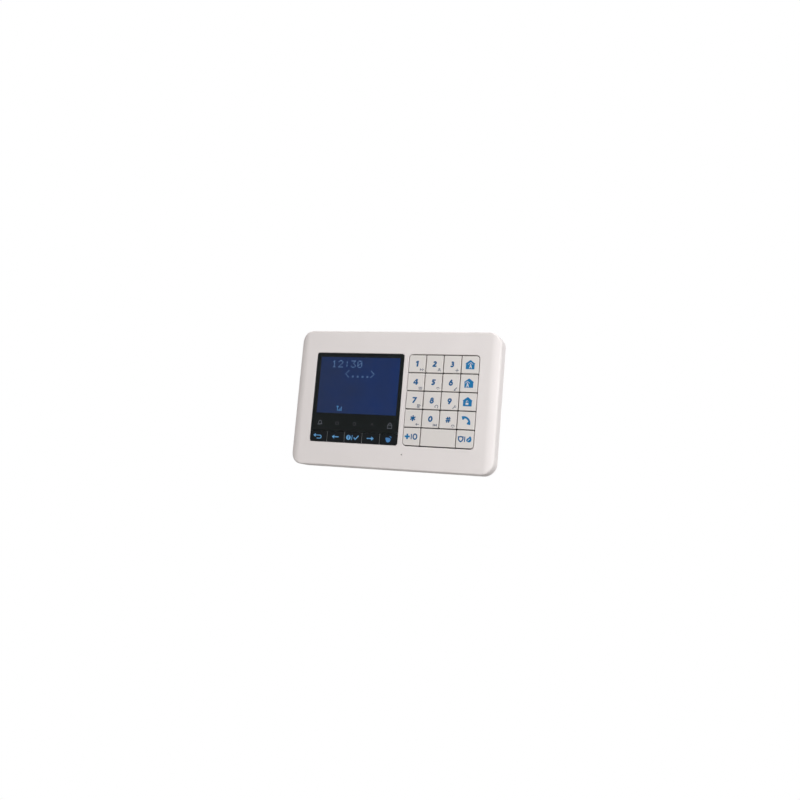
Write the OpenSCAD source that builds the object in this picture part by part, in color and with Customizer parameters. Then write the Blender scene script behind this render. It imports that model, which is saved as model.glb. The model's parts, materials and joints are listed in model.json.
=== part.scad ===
// Wall-mounted alarm keypad with a backlit display.
// Millimetres. The wall is the plane y = 0, the panel faces -Y, and +Z is up.
// A "depth" is measured from the face of the front cover, back towards the wall.

/* [Panel] */
// Width of the front cover across its face
panel_w = 165; // [162:1:180]
// Height of the front cover
panel_h = 107; // [105:1:120]
// Distance from the wall to the face of the front cover
panel_d = 28; // [28:0.5:34]
// Depth of the front cover's sides
cover_d = 14; // [13:0.5:15]
// Corner radius of the front cover's outline
corner_r = 10; // [8:0.5:13]
// Width of the band on each side where the face rolls back
roll_w = 7.5; // [6:0.5:12]
// How far the rolled band falls back at its edge
roll_d = 2.5; // [2:0.5:5]
// Wall thickness of the front cover
wall = 2.2; // [2:0.1:2.5]
// Height of the window and keypad above the middle of the cover
layout_z = 0.3; // [-0.5:0.1:1.5]

/* [Keypad] */
// Distance between the middles of neighbouring keys
key_pitch = 14; // [13.5:0.1:14.4]
// Gap between neighbouring keys, and above and below them
key_gap = 0.8; // [0.4:0.05:0.9]
// Gap between the outer keys and the left and right sides of their opening
side_gap = 0.5; // [0.4:0.05:0.9]
// Corner radius of the keypad opening
pad_r = 3; // [2:0.25:4]
// Radius on the corners of each key
key_r = 0.5; // [0.3:0.1:1]
// How far the keys stand proud of the cover
key_proud = 0.3; // [0:0.05:0.5]
// How far a key travels
key_travel = 0.9; // [0.6:0.1:1.2]
// Depth of a key cap from its face to the end of its skirt
cap_d = 2.9; // [2.5:0.1:3.5]
// Wall thickness of a key cap
cap_wall = 1.1; // [0.8:0.1:1.4]
// Radius of a key's stem
stem_r = 2; // [1.6:0.1:2.3]

/* [Window] */
// Width of the window opening
window_w = 73.8; // [72:0.2:75]
// Corner radius of the window opening
window_r = 1.8; // [1:0.1:3]
// Width of the strip of cover between the window and the keypad
window_gap = 4.1; // [3.6:0.1:5]
// Thickness of the window
lens_t = 1.2; // [1:0.1:1.4]
// Thickness of the adhesive gasket under the window
tape_t = 0.15; // [0.1:0.05:0.25]
// Width of the ledge that the window is stuck to
ledge_w = 1.6; // [1.2:0.1:2.2]
// Border between the window's edge and the lit area of the display
display_margin = 3.2; // [2.8:0.1:4]
// Height of the lit area of the display
display_h = 44.7; // [40:0.1:45]

/* [Navigation keys] */
// Height of the row of navigation keys at the foot of the window
nav_h = 8.6; // [8:0.1:9]
// Width of the ribs between the navigation keys
rib_w = 0.5; // [0.4:0.05:0.8]
// How far the navigation keys stand proud of the window
nav_proud = 0.2; // [0:0.05:0.3]
// Depth of the rib edges behind the face of the cover
rib_sunk = 0.3; // [0.2:0.05:0.8]

/* [Rear cover] */
// How far the rear cover is set in from the front cover's outline
rear_inset = 3; // [2.6:0.1:3.4]
// Thickness of the rear cover's back wall
back_wall = 2.4; // [2.2:0.1:2.8]
// Thickness of the rear cover's side walls
skirt = 2; // [1.6:0.1:2.4]
// Distance that the rear cover reaches into the front cover
spigot = 1.5; // [1:0.1:2]
// Thickness of the shoulder that closes the gap between the covers
shoulder_t = 1.5; // [1:0.1:2]

/* [Wall bracket] */
// Width of the wall bracket
bracket_w = 150; // [146:1:154]
// Height of the wall bracket
bracket_h = 91; // [88:1:95]
// Thickness of the wall bracket over its ribs
bracket_d = 3; // [2.6:0.1:3.4]
// Thickness of the bracket's plate
bracket_plate = 1.4; // [1.2:0.1:1.8]
// Distance between the wall screws across the bracket
wall_screw_dx = 136; // [132:1:138]
// Distance between the wall screws up the bracket
wall_screw_dz = 56; // [54:1:58]
// Radius of the wall screw holes
wall_screw_r = 2.25; // [2:0.05:2.5]
// Distance of the bracket's hooks from the middle
hook_x = 50; // [46:1:52]
// Width of a hook
hook_w = 10; // [8:0.5:12]
// Height that the lip of a hook reaches above its neck
hook_lip = 4.5; // [3.5:0.25:5]
// Thickness of a hook's neck and lip
hook_t = 2; // [1.5:0.1:2.4]

/* [Power] */
// Radius of a battery cell, size AAA
cell_r = 5.25; // [5:0.05:5.3]
// Length of a battery cell with its terminal, size AAA
cell_l = 44.5; // [44:0.1:45]
// Thickness of the battery hatch
hatch_t = 1.2; // [1:0.1:1.4]

/* [Circuit] */
// Thickness of the circuit board
board_t = 1.6; // [1.2:0.1:1.8]
// Thickness of the silicone key mat
mat_t = 0.8; // [0.6:0.1:1.2]
// Thickness of the plate that guides the key stems
guide_t = 1.2; // [1:0.1:1.6]
// Radius of the microphone's sound hole in the cover
mic_hole_r = 0.5; // [0.4:0.05:0.8]
// How far the tamper plunger travels
tamper_travel = 1; // [0.8:0.1:1.2]

/* [Hidden] */
$fn = 64;

// Clearances
running = 0.08;       // radial, between a stem or plunger and its bore
slip = 0.2;           // between pieces that drop into each other
close_fit = 0.05;     // between pieces that are clamped or glued face to face
seat = 0.1;           // between pieces that lie against each other
overlap = 0.5;        // how far a post reaches into the wall that it grows from
through = 1;          // how far a cutter reaches past a face

// Keypad keys: name, column, row and width in columns, from the bottom left
KEYPAD = [
    ["key_emergency", 0, 0, 1], ["key_wide", 1, 0, 2], ["key_fire", 3, 0, 1],
    ["key_star", 0, 1, 1], ["key_0", 1, 1, 1], ["key_hash", 2, 1, 1], ["key_phone", 3, 1, 1],
    ["key_7", 0, 2, 1], ["key_8", 1, 2, 1], ["key_9", 2, 2, 1], ["key_disarm", 3, 2, 1],
    ["key_4", 0, 3, 1], ["key_5", 1, 3, 1], ["key_6", 2, 3, 1], ["key_arm_home", 3, 3, 1],
    ["key_1", 0, 4, 1], ["key_2", 1, 4, 1], ["key_3", 2, 4, 1], ["key_arm_away", 3, 4, 1]
];
NAV = ["nav_key_back", "nav_key_left", "nav_key_ok", "nav_key_right", "nav_key_guard"];

// Key field, with the window beside it
cols = max([for (k = KEYPAD) k[1] + k[3]]);
rows = max([for (k = KEYPAD) k[2]]) + 1;
pad_w = cols * key_pitch - key_gap + 2 * side_gap;
pad_h = rows * key_pitch + key_gap;
pair_w = window_w + window_gap + pad_w;
pad_x = (pair_w - pad_w) / 2;
window_x = (window_w - pair_w) / 2;
window_h = pad_h;

function key_x(col, span = 1) = pad_x + (col + (span - cols) / 2) * key_pitch;
function key_z(row) = layout_z + (row + (1 - rows) / 2) * key_pitch;

nav_pitch = window_w / len(NAV);
nav_z = layout_z - window_h / 2 + nav_h / 2;
nav_top = nav_z + nav_h / 2;
function nav_x(i) = window_x + (i - (len(NAV) - 1) / 2) * nav_pitch;

keypad_stems = [for (k = KEYPAD, i = [0 : k[3] - 1]) [key_x(k[1] + i), key_z(k[2])]];
nav_stems = [for (i = [0 : len(NAV) - 1]) [nav_x(i), nav_z]];

// Lights that shine past the keys, and the holes for them in the key mats
light_hole = 2.4;
light_points = [for (c = [1 : cols - 1], r = [1 : rows - 1])
    [key_x(c) - key_pitch / 2, key_z(r) - key_pitch / 2]];
nav_light_points = [for (stem = nav_stems) [stem[0] + nav_pitch / 3, stem[1]]];

// Depths of the layers, from the face back
pocket_d = lens_t + tape_t;
cap_end = cap_d - key_proud;
guide_s = cap_end + key_travel + slip;
clip_t = 0.5;
clip_r = stem_r + 0.5;
clip_s = guide_s + guide_t + seat;
ring_h = 0.6;
ring_s = clip_s + clip_t + key_travel + slip;
mat_s = ring_s + ring_h;
board_s = mat_s + mat_t;
pad_t = 0.1;
stem_end = board_s - pad_t - close_fit - key_travel;
board_back = board_s + board_t;

bracket_s = panel_d - bracket_d;
back_s = bracket_s - seat;
back_inner = back_s - back_wall;
hatch_back = back_s - seat;
hatch_s = hatch_back - hatch_t;
channel_s = hatch_s - seat;

// Side roll: an arc that starts level with the face and ends roll_d behind it. It leaves a flat
// land beside the window and the keypad.
roll_land = 1;
roll_reach = min(roll_w, (panel_w - pair_w) / 2 - roll_land);
roll_r = (roll_reach * roll_reach + roll_d * roll_d) / (2 * roll_d);
roll_x = panel_w / 2 - roll_reach;

// Screws and posts
case_inset = 10.5;
case_x = panel_w / 2 - case_inset;
case_z = panel_h / 2 - case_inset;
case_screw_r = 1.4;
case_head_r = 2.6;
case_head_t = 1.8;
case_boss_r = 3.2;
case_boss_end = cover_d - 1;
case_screw_l = 9;
pillar_wall = 1.1;
pillar_floor = 2.2;
head_clear = 0.3;
corner_signs = [for (sx = [-1, 1], sz = [-1, 1]) [sx, sz]];
case_points = [for (c = corner_signs) [c[0] * case_x, c[1] * case_z]];

// The board's posts stand beside the window and the keypad, inside the side walls
post_r = 2.3;
post_gap = 3.9;
post_inset_x = 3.5;
post_inset_z = 5;
post_x = min(pair_w / 2 + post_gap, panel_w / 2 - wall - slip - post_r);
board_w = min(2 * (post_x + post_inset_x), panel_w - 2 * (wall + slip));
board_h = panel_h - 2 * (case_inset + case_boss_r + through);
board_r = 2;
board_screw_r = 1;
board_head_r = 1.9;
board_head_t = 1.3;
board_screw_l = 5;
board_points = [for (c = corner_signs) [c[0] * post_x, c[1] * (board_h / 2 - post_inset_z)]];

// Pegs that hold the two guide plates
peg_r = 1.1;
peg_boss_r = 2.2;
peg_out = 2.9;
peg_rise = 0.6;
pad_peg_x = 20;
pad_pegs = [for (c = corner_signs) [pad_x + c[0] * pad_peg_x, layout_z + c[1] * (pad_h / 2 + peg_out)]];
nav_peg_x = 28;
nav_foot = layout_z - window_h / 2 - peg_out;
nav_pegs = [for (sx = [-1, 1]) [window_x + sx * nav_peg_x, nav_foot]];
guide_side = 1.2;

// Display
lit_w = window_w - 2 * display_margin;
lit_z = layout_z + window_h / 2 - display_margin - display_h / 2;
glass_border = 1.9;
glass_t = 2.2;
glass_w = lit_w + 2 * glass_border;
glass_h = display_h + 2 * glass_border;
frame_wall = 1.2;
frame_lip = 0.6;
frame_w = glass_w + 2 * (slip + frame_wall);
frame_h = glass_h + 2 * (slip + frame_wall);
frame_s = wall + seat;
glass_s = frame_s + frame_lip + close_fit;
connector_h = 3;
view_border = 0.6;

// Status lights between the display and the navigation keys
status_drop = 0.7;
status_z = nav_top + (lit_z - display_h / 2 - nav_top) / 2 - status_drop;
shroud_h = 5;
tunnel_w = 5;
tunnel_h = 3.4;

// Microphone
mic_x = pad_x - pad_w / 2 + side_gap / 2;
mic_drop = 6.7;
mic_z = layout_z - pad_h / 2 - mic_drop;
mic_r = 2.9;
mic_t = 2.3;
boot_wall = 0.7;
collar_wall = 0.9;

// Parts on the back of the board
chip_size = [12, 12, 1.3];
chip_place = [46, 12];
radio_size = [20, 15, 2.2];
radio_place = [52, -24];
antenna_r = 2.2;
antenna_wire = 0.4;
antenna_turns = 10;
antenna_l = 32;
antenna_inset = 6.8;
antenna_place = [6, antenna_inset - board_h / 2];
sounder_r = 6.9;
sounder_t = 5.5;
sounder_place = [4, 18];
sounder_port_r = 1.2;
sound_slot_w = 1.2;
sound_slot_l = 4;
sound_slot_pitch = 2.6;
sound_slot_count = 7;
terminal_size = [11, 8, 8];
terminal_place = [8, -14];
terminal_bore_r = 1.3;

// Tamper switch
tamper_place = [30, 26];
switch_size = 7;
switch_t = 3.8;
button_r = 1.4;
button_t = 0.7;
plunger_r = 2;
flange_r = 3.2;
flange_t = 1;
flange_play = 0.8;
plunger_s = board_back + switch_t + button_t + seat + tamper_travel;
flange_s = back_inner - flange_play - flange_t;
spring_r = 2.65;
spring_wire = 0.25;
spring_turns = 6;

// Battery compartment
cell_count = 4;
cell_pitch = 2 * cell_r + 0.5;
cell_s = hatch_s - 2 * slip - cell_r;
contact_t = 0.4;
contact_gap = 2.4;
tray_wall = 1.2;
board_gap = 0.3;
tray_w = cell_l + 2 * (contact_t + contact_gap);
tray_h = cell_count * cell_pitch + slip;
tray_inset = 41.5;
tray_x = rear_inset - panel_w / 2 + tray_inset;
tray_floor = cell_s - cell_r - slip;
tray_front = max(tray_floor - tray_wall, board_back + board_gap);
contact_inset = 0.5;
contact_h = 2 * (cell_r - contact_inset);
leg_w = 3;

// Battery hatch, which slides out to the left
hatch_left = rear_inset - panel_w / 2;
hatch_overlap = 2.4;
hatch_right = tray_x + tray_w / 2 + hatch_overlap;
hatch_w = hatch_right - hatch_left;
hatch_h = tray_h + 2 * hatch_overlap;
hatch_x = (hatch_right + hatch_left) / 2;
tongue_w = 0.8;
tongue_t = 0.6;
grip_ribs = 5;
grip_pitch = 2.2;
grip_d = 0.4;

// Wall bracket
bracket_r = 6;
wall_screw_points = [for (c = corner_signs) [c[0] * wall_screw_dx / 2, c[1] * wall_screw_dz / 2]];

// Hooks: the top of each neck, and the slots that they stand in
hook_zs = [34, -36];
hook_points = [for (sx = [-1, 1], z = hook_zs) [sx * hook_x, z]];
lift = hook_lip + 0.5;
slot_h = hook_t + lift + 0.3;
lip_back = back_inner - seat;

// Cable opening
cable_place = [40, -4];
cable_hole = [14, 12];
cable_window = [32, 22];
hatch_window = [44, 32];
window_edge_r = 3;
rib_t = 1.6;
screw_pad_r = 5.6;
sink_r = 4.3;
sink_d = 1.9;

covers_white = [0.87, 0.85, 0.83];
key_white = [0.88, 0.85, 0.82];
smoke_black = [0.09, 0.1, 0.11];

// ---- Drawing helpers ----

// A slab parallel to the wall, from one depth to another, with its outline drawn in X and Z
module layer(from, to) {
    translate([0, to - panel_d, 0]) rotate([90, 0, 0]) linear_extrude(to - from) children();
}

module rounded(w, h, r) {
    square([w - 2 * r, h], center = true);
    square([w, h - 2 * r], center = true);
    for (sx = [-1, 1], sz = [-1, 1]) {
        translate([sx * (w / 2 - r), sz * (h / 2 - r)]) circle(r);
    }
}

module at(point) {
    translate(point) children();
}

module at_each(points) {
    for (p = points) translate(p) children();
}

module pipe_ring(outer, inner) {
    difference() {
        circle(outer);
        circle(inner);
    }
}

// A coil of round wire around +Z, starting on z = 0
module coil(radius, wire, length, turns) {
    sides = 8;
    steps = 12;
    count = turns * steps;
    function spot(i, j) = let (
        turn = 360 * i / steps,
        around = 360 * j / sides,
        reach = radius + wire * cos(around)
    ) [reach * cos(turn), reach * sin(turn), length * i / count + wire * sin(around)];
    polyhedron(
        points = [for (i = [0 : count], j = [0 : sides - 1]) spot(i, j)],
        faces = concat(
            [[for (j = [0 : sides - 1]) j]],
            [for (i = [0 : count - 1], j = [0 : sides - 1]) let (k = (j + 1) % sides)
                [i * sides + j, (i + 1) * sides + j, (i + 1) * sides + k, i * sides + k]],
            [[for (j = [sides - 1 : -1 : 0]) count * sides + j]]
        )
    );
}

// ---- Front cover ----

// What the rolled side leaves out of a shell that lies "inset" inside the cover's surface
module side_roll(side, inset) {
    arc = roll_r - inset;
    reach = roll_reach - inset;
    fall = roll_r - sqrt(arc * arc - reach * reach);
    translate([0, -panel_d, -panel_h / 2 - through]) linear_extrude(panel_h + 2 * through)
        scale([side, 1]) translate([roll_x, 0]) difference() {
            translate([0, inset - through]) square([reach + through, fall + through - inset]);
            translate([0, roll_r]) circle(arc, $fn = 256);
        }
}

module cover_shape(inset, back) {
    difference() {
        layer(inset, back) rounded(panel_w - 2 * inset, panel_h - 2 * inset, corner_r - inset);
        for (side = [-1, 1]) side_roll(side, inset);
    }
}

module pad_outline(gaps = [0, 0]) {
    at([pad_x, layout_z]) rounded(pad_w - 2 * gaps.x, pad_h - 2 * gaps.y, pad_r - max(gaps));
}

module window_outline(inset = 0) {
    at([window_x, layout_z]) rounded(window_w - 2 * inset, window_h - 2 * inset, window_r - inset);
}

// The part of the window above the navigation keys
module above_nav(rise = 0) {
    translate([window_x - window_w / 2, nav_top + rise]) square([window_w, window_h]);
}

module ledge_opening() {
    intersection() {
        at([window_x, layout_z])
            rounded(window_w - 2 * ledge_w, window_h - 2 * ledge_w, window_r);
        above_nav(ledge_w);
    }
}

module front_cover() {
    color(covers_white) difference() {
        union() {
            difference() {
                cover_shape(0, cover_d);
                cover_shape(wall, cover_d + through);
            }
            layer(wall - overlap, case_boss_end) at_each(case_points) circle(case_boss_r);
            layer(wall - overlap, board_s) at_each(board_points) circle(post_r);
            layer(wall - overlap, guide_s) at_each(concat(pad_pegs, nav_pegs)) circle(peg_boss_r);
            layer(guide_s - overlap, guide_s + guide_t + peg_rise)
                at_each(concat(pad_pegs, nav_pegs)) circle(peg_r);
            layer(wall - overlap, wall + mic_t + close_fit) at([mic_x, mic_z])
                circle(mic_r + boot_wall + close_fit + collar_wall);
        }
        layer(-through, wall + through) pad_outline();
        layer(-through, pocket_d) window_outline();
        layer(-through, wall + through) ledge_opening();
        layer(-through, wall + through) difference() {
            window_outline();
            above_nav();
        }
        layer(-through, wall + through) at([mic_x, mic_z]) circle(mic_hole_r);
        layer(wall, cover_d) at([mic_x, mic_z]) circle(mic_r + boot_wall + close_fit);
        layer(case_boss_end - case_screw_l, cover_d) at_each(case_points)
            circle(case_screw_r + close_fit);
        layer(board_s - board_screw_l, board_s + through) at_each(board_points)
            circle(board_screw_r + close_fit);
    }
}

// ---- Rear cover ----

module rear_outline(inset) {
    rounded(panel_w - 2 * (rear_inset + inset), panel_h - 2 * (rear_inset + inset),
        corner_r - rear_inset - inset);
}

module hatch_channel() {
    // reaches out through the left side of the rear cover
    long = hatch_w + slip + through;
    mid_x = hatch_right + slip - long / 2;
    layer(channel_s, back_s + through) translate([mid_x, 0])
        square([long, hatch_h + 2 * slip], center = true);
    layer(channel_s, hatch_s + tongue_t + seat) translate([mid_x, 0])
        square([long, hatch_h + 2 * (slip + tongue_w)], center = true);
}

// Slots in the underside that let the sounder out
module sound_slots() {
    for (i = [0 : sound_slot_count - 1]) {
        x = sounder_place[0] + (i - (sound_slot_count - 1) / 2) * sound_slot_pitch;
        translate([x, (back_inner + cover_d + shoulder_t) / 2 - panel_d, rear_inset - panel_h / 2])
            cube([sound_slot_w, sound_slot_l, 2 * skirt + through], center = true);
    }
}

module leg_slots() {
    for (row = [0, cell_count - 1])
        translate([tray_x - (tray_w - contact_t) / 2, cell_z(row)])
            square([contact_t + 2 * slip, leg_w + 2 * slip], center = true);
}

module rear_cover() {
    color(covers_white) difference() {
        union() {
            difference() {
                layer(cover_d - spigot, back_s) rear_outline(0);
                layer(cover_d - spigot - through, back_inner) rear_outline(skirt);
            }
            difference() {
                layer(cover_d + seat, cover_d + seat + shoulder_t) rear_outline(-rear_inset / 2);
                layer(cover_d, cover_d + 2 * shoulder_t) rear_outline(skirt);
            }
            layer(case_boss_end + seat, back_inner + overlap) at_each(case_points)
                circle(case_head_r + head_clear + pillar_wall);
            layer(tray_front, back_inner + overlap) translate([tray_x, 0])
                square([tray_w + 2 * tray_wall, tray_h + 2 * tray_wall], center = true);
        }
        layer(case_boss_end + seat + pillar_floor, back_s + through) at_each(case_points)
            circle(case_head_r + head_clear);
        layer(case_boss_end, back_s) at_each(case_points) circle(case_screw_r + slip);
        layer(tray_floor, back_s + through) translate([tray_x, 0])
            square([tray_w, tray_h], center = true);
        layer(tray_floor - 2 * tray_wall, tray_floor + through) leg_slots();
        hatch_channel();
        sound_slots();
        layer(back_inner - through, back_s + through) at_each(hook_points)
            translate([-hook_w / 2 - slip, close_fit - slot_h]) square([hook_w + 2 * slip, slot_h]);
        layer(back_inner - through, back_s + through) at(tamper_place)
            circle(plunger_r + running);
        layer(back_inner - through, back_s + through) at(cable_place)
            square(cable_hole, center = true);
    }
}

// ---- Wall bracket ----

module bracket_windows(grow = 0) {
    at(cable_place) rounded(cable_window[0] + 2 * grow, cable_window[1] + 2 * grow,
        window_edge_r + grow);
    at([tray_x, 0]) rounded(hatch_window[0] + 2 * grow, hatch_window[1] + 2 * grow,
        window_edge_r + grow);
}

module bracket_ribs() {
    difference() {
        rounded(bracket_w, bracket_h, bracket_r);
        rounded(bracket_w - 2 * rib_t, bracket_h - 2 * rib_t, bracket_r - rib_t);
    }
    bracket_windows(rib_t);
    at_each(wall_screw_points) circle(screw_pad_r);
    square([rib_t, bracket_h - rib_t], center = true);
    for (sz = [-1, 1]) {
        translate([0, sz * wall_screw_dz / 2]) square([bracket_w - rib_t, rib_t], center = true);
    }
}

module hook(point) {
    left = point[0] - hook_w / 2;
    layer(lip_back - hook_t, bracket_s + overlap)
        translate([left, point[1] - hook_t]) square([hook_w, hook_t]);
    layer(lip_back - hook_t, lip_back)
        translate([left, point[1] - hook_t]) square([hook_w, hook_t + hook_lip]);
}

module wall_bracket() {
    color("gainsboro") {
        difference() {
            union() {
                layer(bracket_s, bracket_s + bracket_plate) rounded(bracket_w, bracket_h, bracket_r);
                layer(bracket_s, panel_d) bracket_ribs();
                for (p = hook_points) hook(p);
            }
            layer(bracket_s - through, panel_d + through) bracket_windows();
            layer(bracket_s - through, panel_d + through) at_each(wall_screw_points)
                circle(wall_screw_r);
            for (p = wall_screw_points)
                translate([p[0], bracket_s - panel_d, p[1]]) rotate([-90, 0, 0])
                    cylinder(r1 = sink_r, r2 = wall_screw_r, h = sink_d);
        }
    }
}

// ---- Screws ----

// A pan-head screw whose head seats at a depth, with its point towards the face
module screw(point, head_seat, shank_r, shank_l, head_r, head_t) {
    difference() {
        union() {
            layer(head_seat - shank_l, head_seat + head_t / 2) at(point) circle(shank_r);
            layer(head_seat, head_seat + head_t) at(point) circle(head_r);
        }
        for (turn = [0, 90])
            layer(head_seat + head_t / 2, head_seat + head_t + through) at(point) rotate(turn)
                square([head_r, head_r / 4], center = true);
    }
}

module case_screws() {
    color("silver") for (p = case_points)
        screw(p, case_boss_end + seat + pillar_floor + close_fit, case_screw_r, case_screw_l,
            case_head_r, case_head_t);
}

module board_screws() {
    color("silver") for (p = board_points)
        screw(p, board_back + close_fit, board_screw_r, board_screw_l, board_head_r, board_head_t);
}

// ---- Window and display ----

module display_window() {
    color(smoke_black) layer(0, lens_t) intersection() {
        window_outline(slip / 2);
        above_nav();
    }
}

module window_gasket() {
    color("black") layer(lens_t, lens_t + tape_t) difference() {
        intersection() {
            window_outline(slip);
            above_nav(slip);
        }
        ledge_opening();
    }
}

module display_frame() {
    color("dimgray") difference() {
        layer(frame_s, board_s) translate([window_x, lit_z])
            square([frame_w, frame_h], center = true);
        layer(frame_s - through, board_s + through) translate([window_x, lit_z])
            square([lit_w + 2 * view_border, display_h + 2 * view_border], center = true);
        layer(frame_s + frame_lip, board_s + through) translate([window_x, lit_z])
            square([glass_w + 2 * slip, glass_h + 2 * slip], center = true);
    }
}

module display_glass() {
    color([0.11, 0.2, 0.38]) layer(glass_s, glass_s + glass_t) translate([window_x, lit_z])
        square([glass_w, glass_h], center = true);
}

module display_backlight() {
    color("lightblue") layer(glass_s + glass_t + close_fit, board_s - close_fit)
        translate([window_x, lit_z + connector_h / 2])
            square([glass_w, glass_h - connector_h], center = true);
}

module display_connector() {
    color("lightpink") layer(glass_s + glass_t + close_fit, board_s - close_fit)
        translate([window_x, lit_z - (glass_h - connector_h) / 2])
            square([lit_w, connector_h - 2 * slip], center = true);
}

module status_shroud() {
    color(smoke_black) difference() {
        layer(wall, board_s - close_fit) translate([window_x, status_z])
            square([window_w - 2 * ledge_w - 2 * slip, shroud_h], center = true);
        layer(wall - through, board_s + through) for (i = [0 : len(NAV) - 1])
            translate([nav_x(i), status_z]) square([tunnel_w, tunnel_h], center = true);
    }
}

// A small light on the front of the board
module board_light(x, z) {
    light = [1.6, 0.8, 0.7];
    layer(board_s - light[2], board_s) translate([x, z]) square([light[0], light[1]], center = true);
}

module status_lights() {
    color("white") for (i = [0 : len(NAV) - 1]) board_light(nav_x(i), status_z);
}

// ---- Keys ----

// A key cap with its skirt, and stems with snap collars behind the guide plate
module key_body(proud, stems) {
    difference() {
        layer(-proud, cap_d - proud) children(0);
        layer(cap_wall - proud, cap_d - proud + through) children(1);
    }
    layer(cap_wall - proud - overlap / 2, stem_end) at_each(stems) circle(stem_r);
    layer(clip_s, clip_s + clip_t) at_each(stems) circle(clip_r);
}

module keypad_key(col, row, span) {
    w = span * key_pitch - key_gap;
    h = key_pitch - key_gap;
    middle = [key_x(col, span), key_z(row)];
    color(key_white) key_body(key_proud, [for (i = [0 : span - 1]) [key_x(col + i), key_z(row)]]) {
        intersection() {
            at(middle) rounded(w, h, key_r);
            pad_outline([side_gap, key_gap]);
        }
        at(middle) square([w - 2 * cap_wall, h - 2 * cap_wall], center = true);
    }
}

module nav_key(i) {
    w = nav_pitch - rib_w - 2 * slip;
    h = nav_h - 2 * slip;
    middle = [nav_x(i), nav_z];
    color(smoke_black) key_body(nav_proud, [nav_stems[i]]) {
        intersection() {
            at(middle) rounded(w, h, key_r);
            window_outline(slip);
        }
        at(middle) square([w - 2 * cap_wall, h - 2 * cap_wall], center = true);
    }
}

// ---- Key guides and mats ----

// An ear of a guide plate, from the foot or head of the opening out to a peg
module ear(peg) {
    reach = peg_boss_r + guide_side;
    inward = peg[1] < layout_z ? 1 : -1;
    at(peg) circle(peg_boss_r);
    translate([peg[0], peg[1] + inward * reach / 2])
        square([2 * peg_boss_r, reach], center = true);
}

module guide_plate(stems, pegs) {
    layer(guide_s, guide_s + guide_t) difference() {
        union() {
            children();
            for (p = pegs) ear(p);
        }
        at_each(stems) circle(stem_r + running);
        at_each(pegs) circle(peg_r + close_fit);
    }
}

module key_guide() {
    color("gray") guide_plate(keypad_stems, pad_pegs)
        at([pad_x, layout_z])
            rounded(pad_w + 2 * guide_side, pad_h + 2 * guide_side, pad_r);
}

module nav_key_guide() {
    color("slategray") {
        guide_plate(nav_stems, nav_pegs)
            translate([window_x, nav_z])
                square([window_w + 2 * guide_side, nav_h + 2 * guide_side], center = true);
        layer(rib_sunk, guide_s + overlap) for (i = [1 : len(NAV) - 1])
            translate([nav_x(i) - nav_pitch / 2, nav_z])
                square([rib_w, nav_h - 2 * slip], center = true);
    }
}

module mat_rings(stems) {
    layer(ring_s, mat_s + overlap) at_each(stems)
        pipe_ring(clip_r + 2 * slip + ring_h, stem_r + slip);
}

module key_mat() {
    mat_margin = 0.8;
    color("lightgray") {
        layer(mat_s, board_s) difference() {
            at([pad_x, layout_z]) rounded(pad_w + 2 * mat_margin, pad_h + 2 * mat_margin, pad_r);
            at_each(keypad_stems) circle(stem_r + slip);
            at_each(light_points) square(light_hole, center = true);
        }
        mat_rings(keypad_stems);
    }
}

module nav_key_mat() {
    color("lightgray") {
        layer(mat_s, board_s) difference() {
            translate([window_x, nav_z]) square([window_w - 2 * ledge_w, nav_h], center = true);
            at_each(nav_stems) circle(stem_r + slip);
            at_each(nav_light_points) square(light_hole, center = true);
        }
        mat_rings(nav_stems);
    }
}

// ---- Circuit board and what is on it ----

module circuit_board() {
    color("darkgreen") layer(board_s, board_back) difference() {
        rounded(board_w, board_h, board_r);
        at_each(board_points) circle(board_screw_r + slip);
    }
}

module contact_pads() {
    color("gold") layer(board_s - pad_t, board_s) at_each(concat(keypad_stems, nav_stems))
        circle(stem_r - slip / 2);
}

module key_lights() {
    color("white") for (p = concat(light_points, nav_light_points)) board_light(p[0], p[1]);
}

// A block on the back of the board
module board_block(place, size) {
    layer(board_back, board_back + size[2]) at(place) square([size[0], size[1]], center = true);
}

module processor() {
    color("dimgray") board_block(chip_place, chip_size);
}

module radio_module() {
    radio_board = 0.8;
    shield_inset = 1.5;
    color("silver") {
        board_block(radio_place, [radio_size[0], radio_size[1], radio_board]);
        board_block(radio_place, [radio_size[0] - 2 * shield_inset, radio_size[1] - 2 * shield_inset,
            radio_board + radio_size[2]]);
    }
}

// The coil lies on the board, and is soldered to it by its first and last turns
module antenna() {
    axis_s = board_back + antenna_r + antenna_wire + close_fit;
    color("darkgoldenrod")
        translate([antenna_place[0], axis_s - panel_d, antenna_place[1]])
            rotate([-90, 0, 0]) rotate([0, 90, 0])
                coil(antenna_r, antenna_wire, antenna_l, antenna_turns);
}

module sounder() {
    color("black") difference() {
        layer(board_back, board_back + sounder_t) at(sounder_place) circle(sounder_r);
        layer(board_back + sounder_t / 2, board_back + sounder_t + through) at(sounder_place)
            circle(sounder_port_r);
    }
}

module terminal_block() {
    color("seagreen") difference() {
        board_block(terminal_place, terminal_size);
        for (side = [-1, 1]) {
            wire_at = [terminal_place[0] + side * terminal_size[0] / 4, terminal_place[1]];
            layer(board_back + terminal_size[2] / 2, board_back + terminal_size[2] + through)
                at(wire_at) circle(terminal_bore_r);
        }
    }
}

module microphone() {
    color("silver") layer(wall + close_fit, wall + close_fit + mic_t) at([mic_x, mic_z])
        circle(mic_r);
}

module microphone_boot() {
    color("black") layer(wall + close_fit, wall + mic_t) at([mic_x, mic_z])
        pipe_ring(mic_r + boot_wall, mic_r + close_fit / 2);
}

// ---- Tamper switch ----

module tamper_switch() {
    color("black") {
        board_block(tamper_place, [switch_size, switch_size, switch_t]);
        layer(board_back + switch_t - overlap, board_back + switch_t + button_t) at(tamper_place)
            circle(button_r);
    }
}

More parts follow.
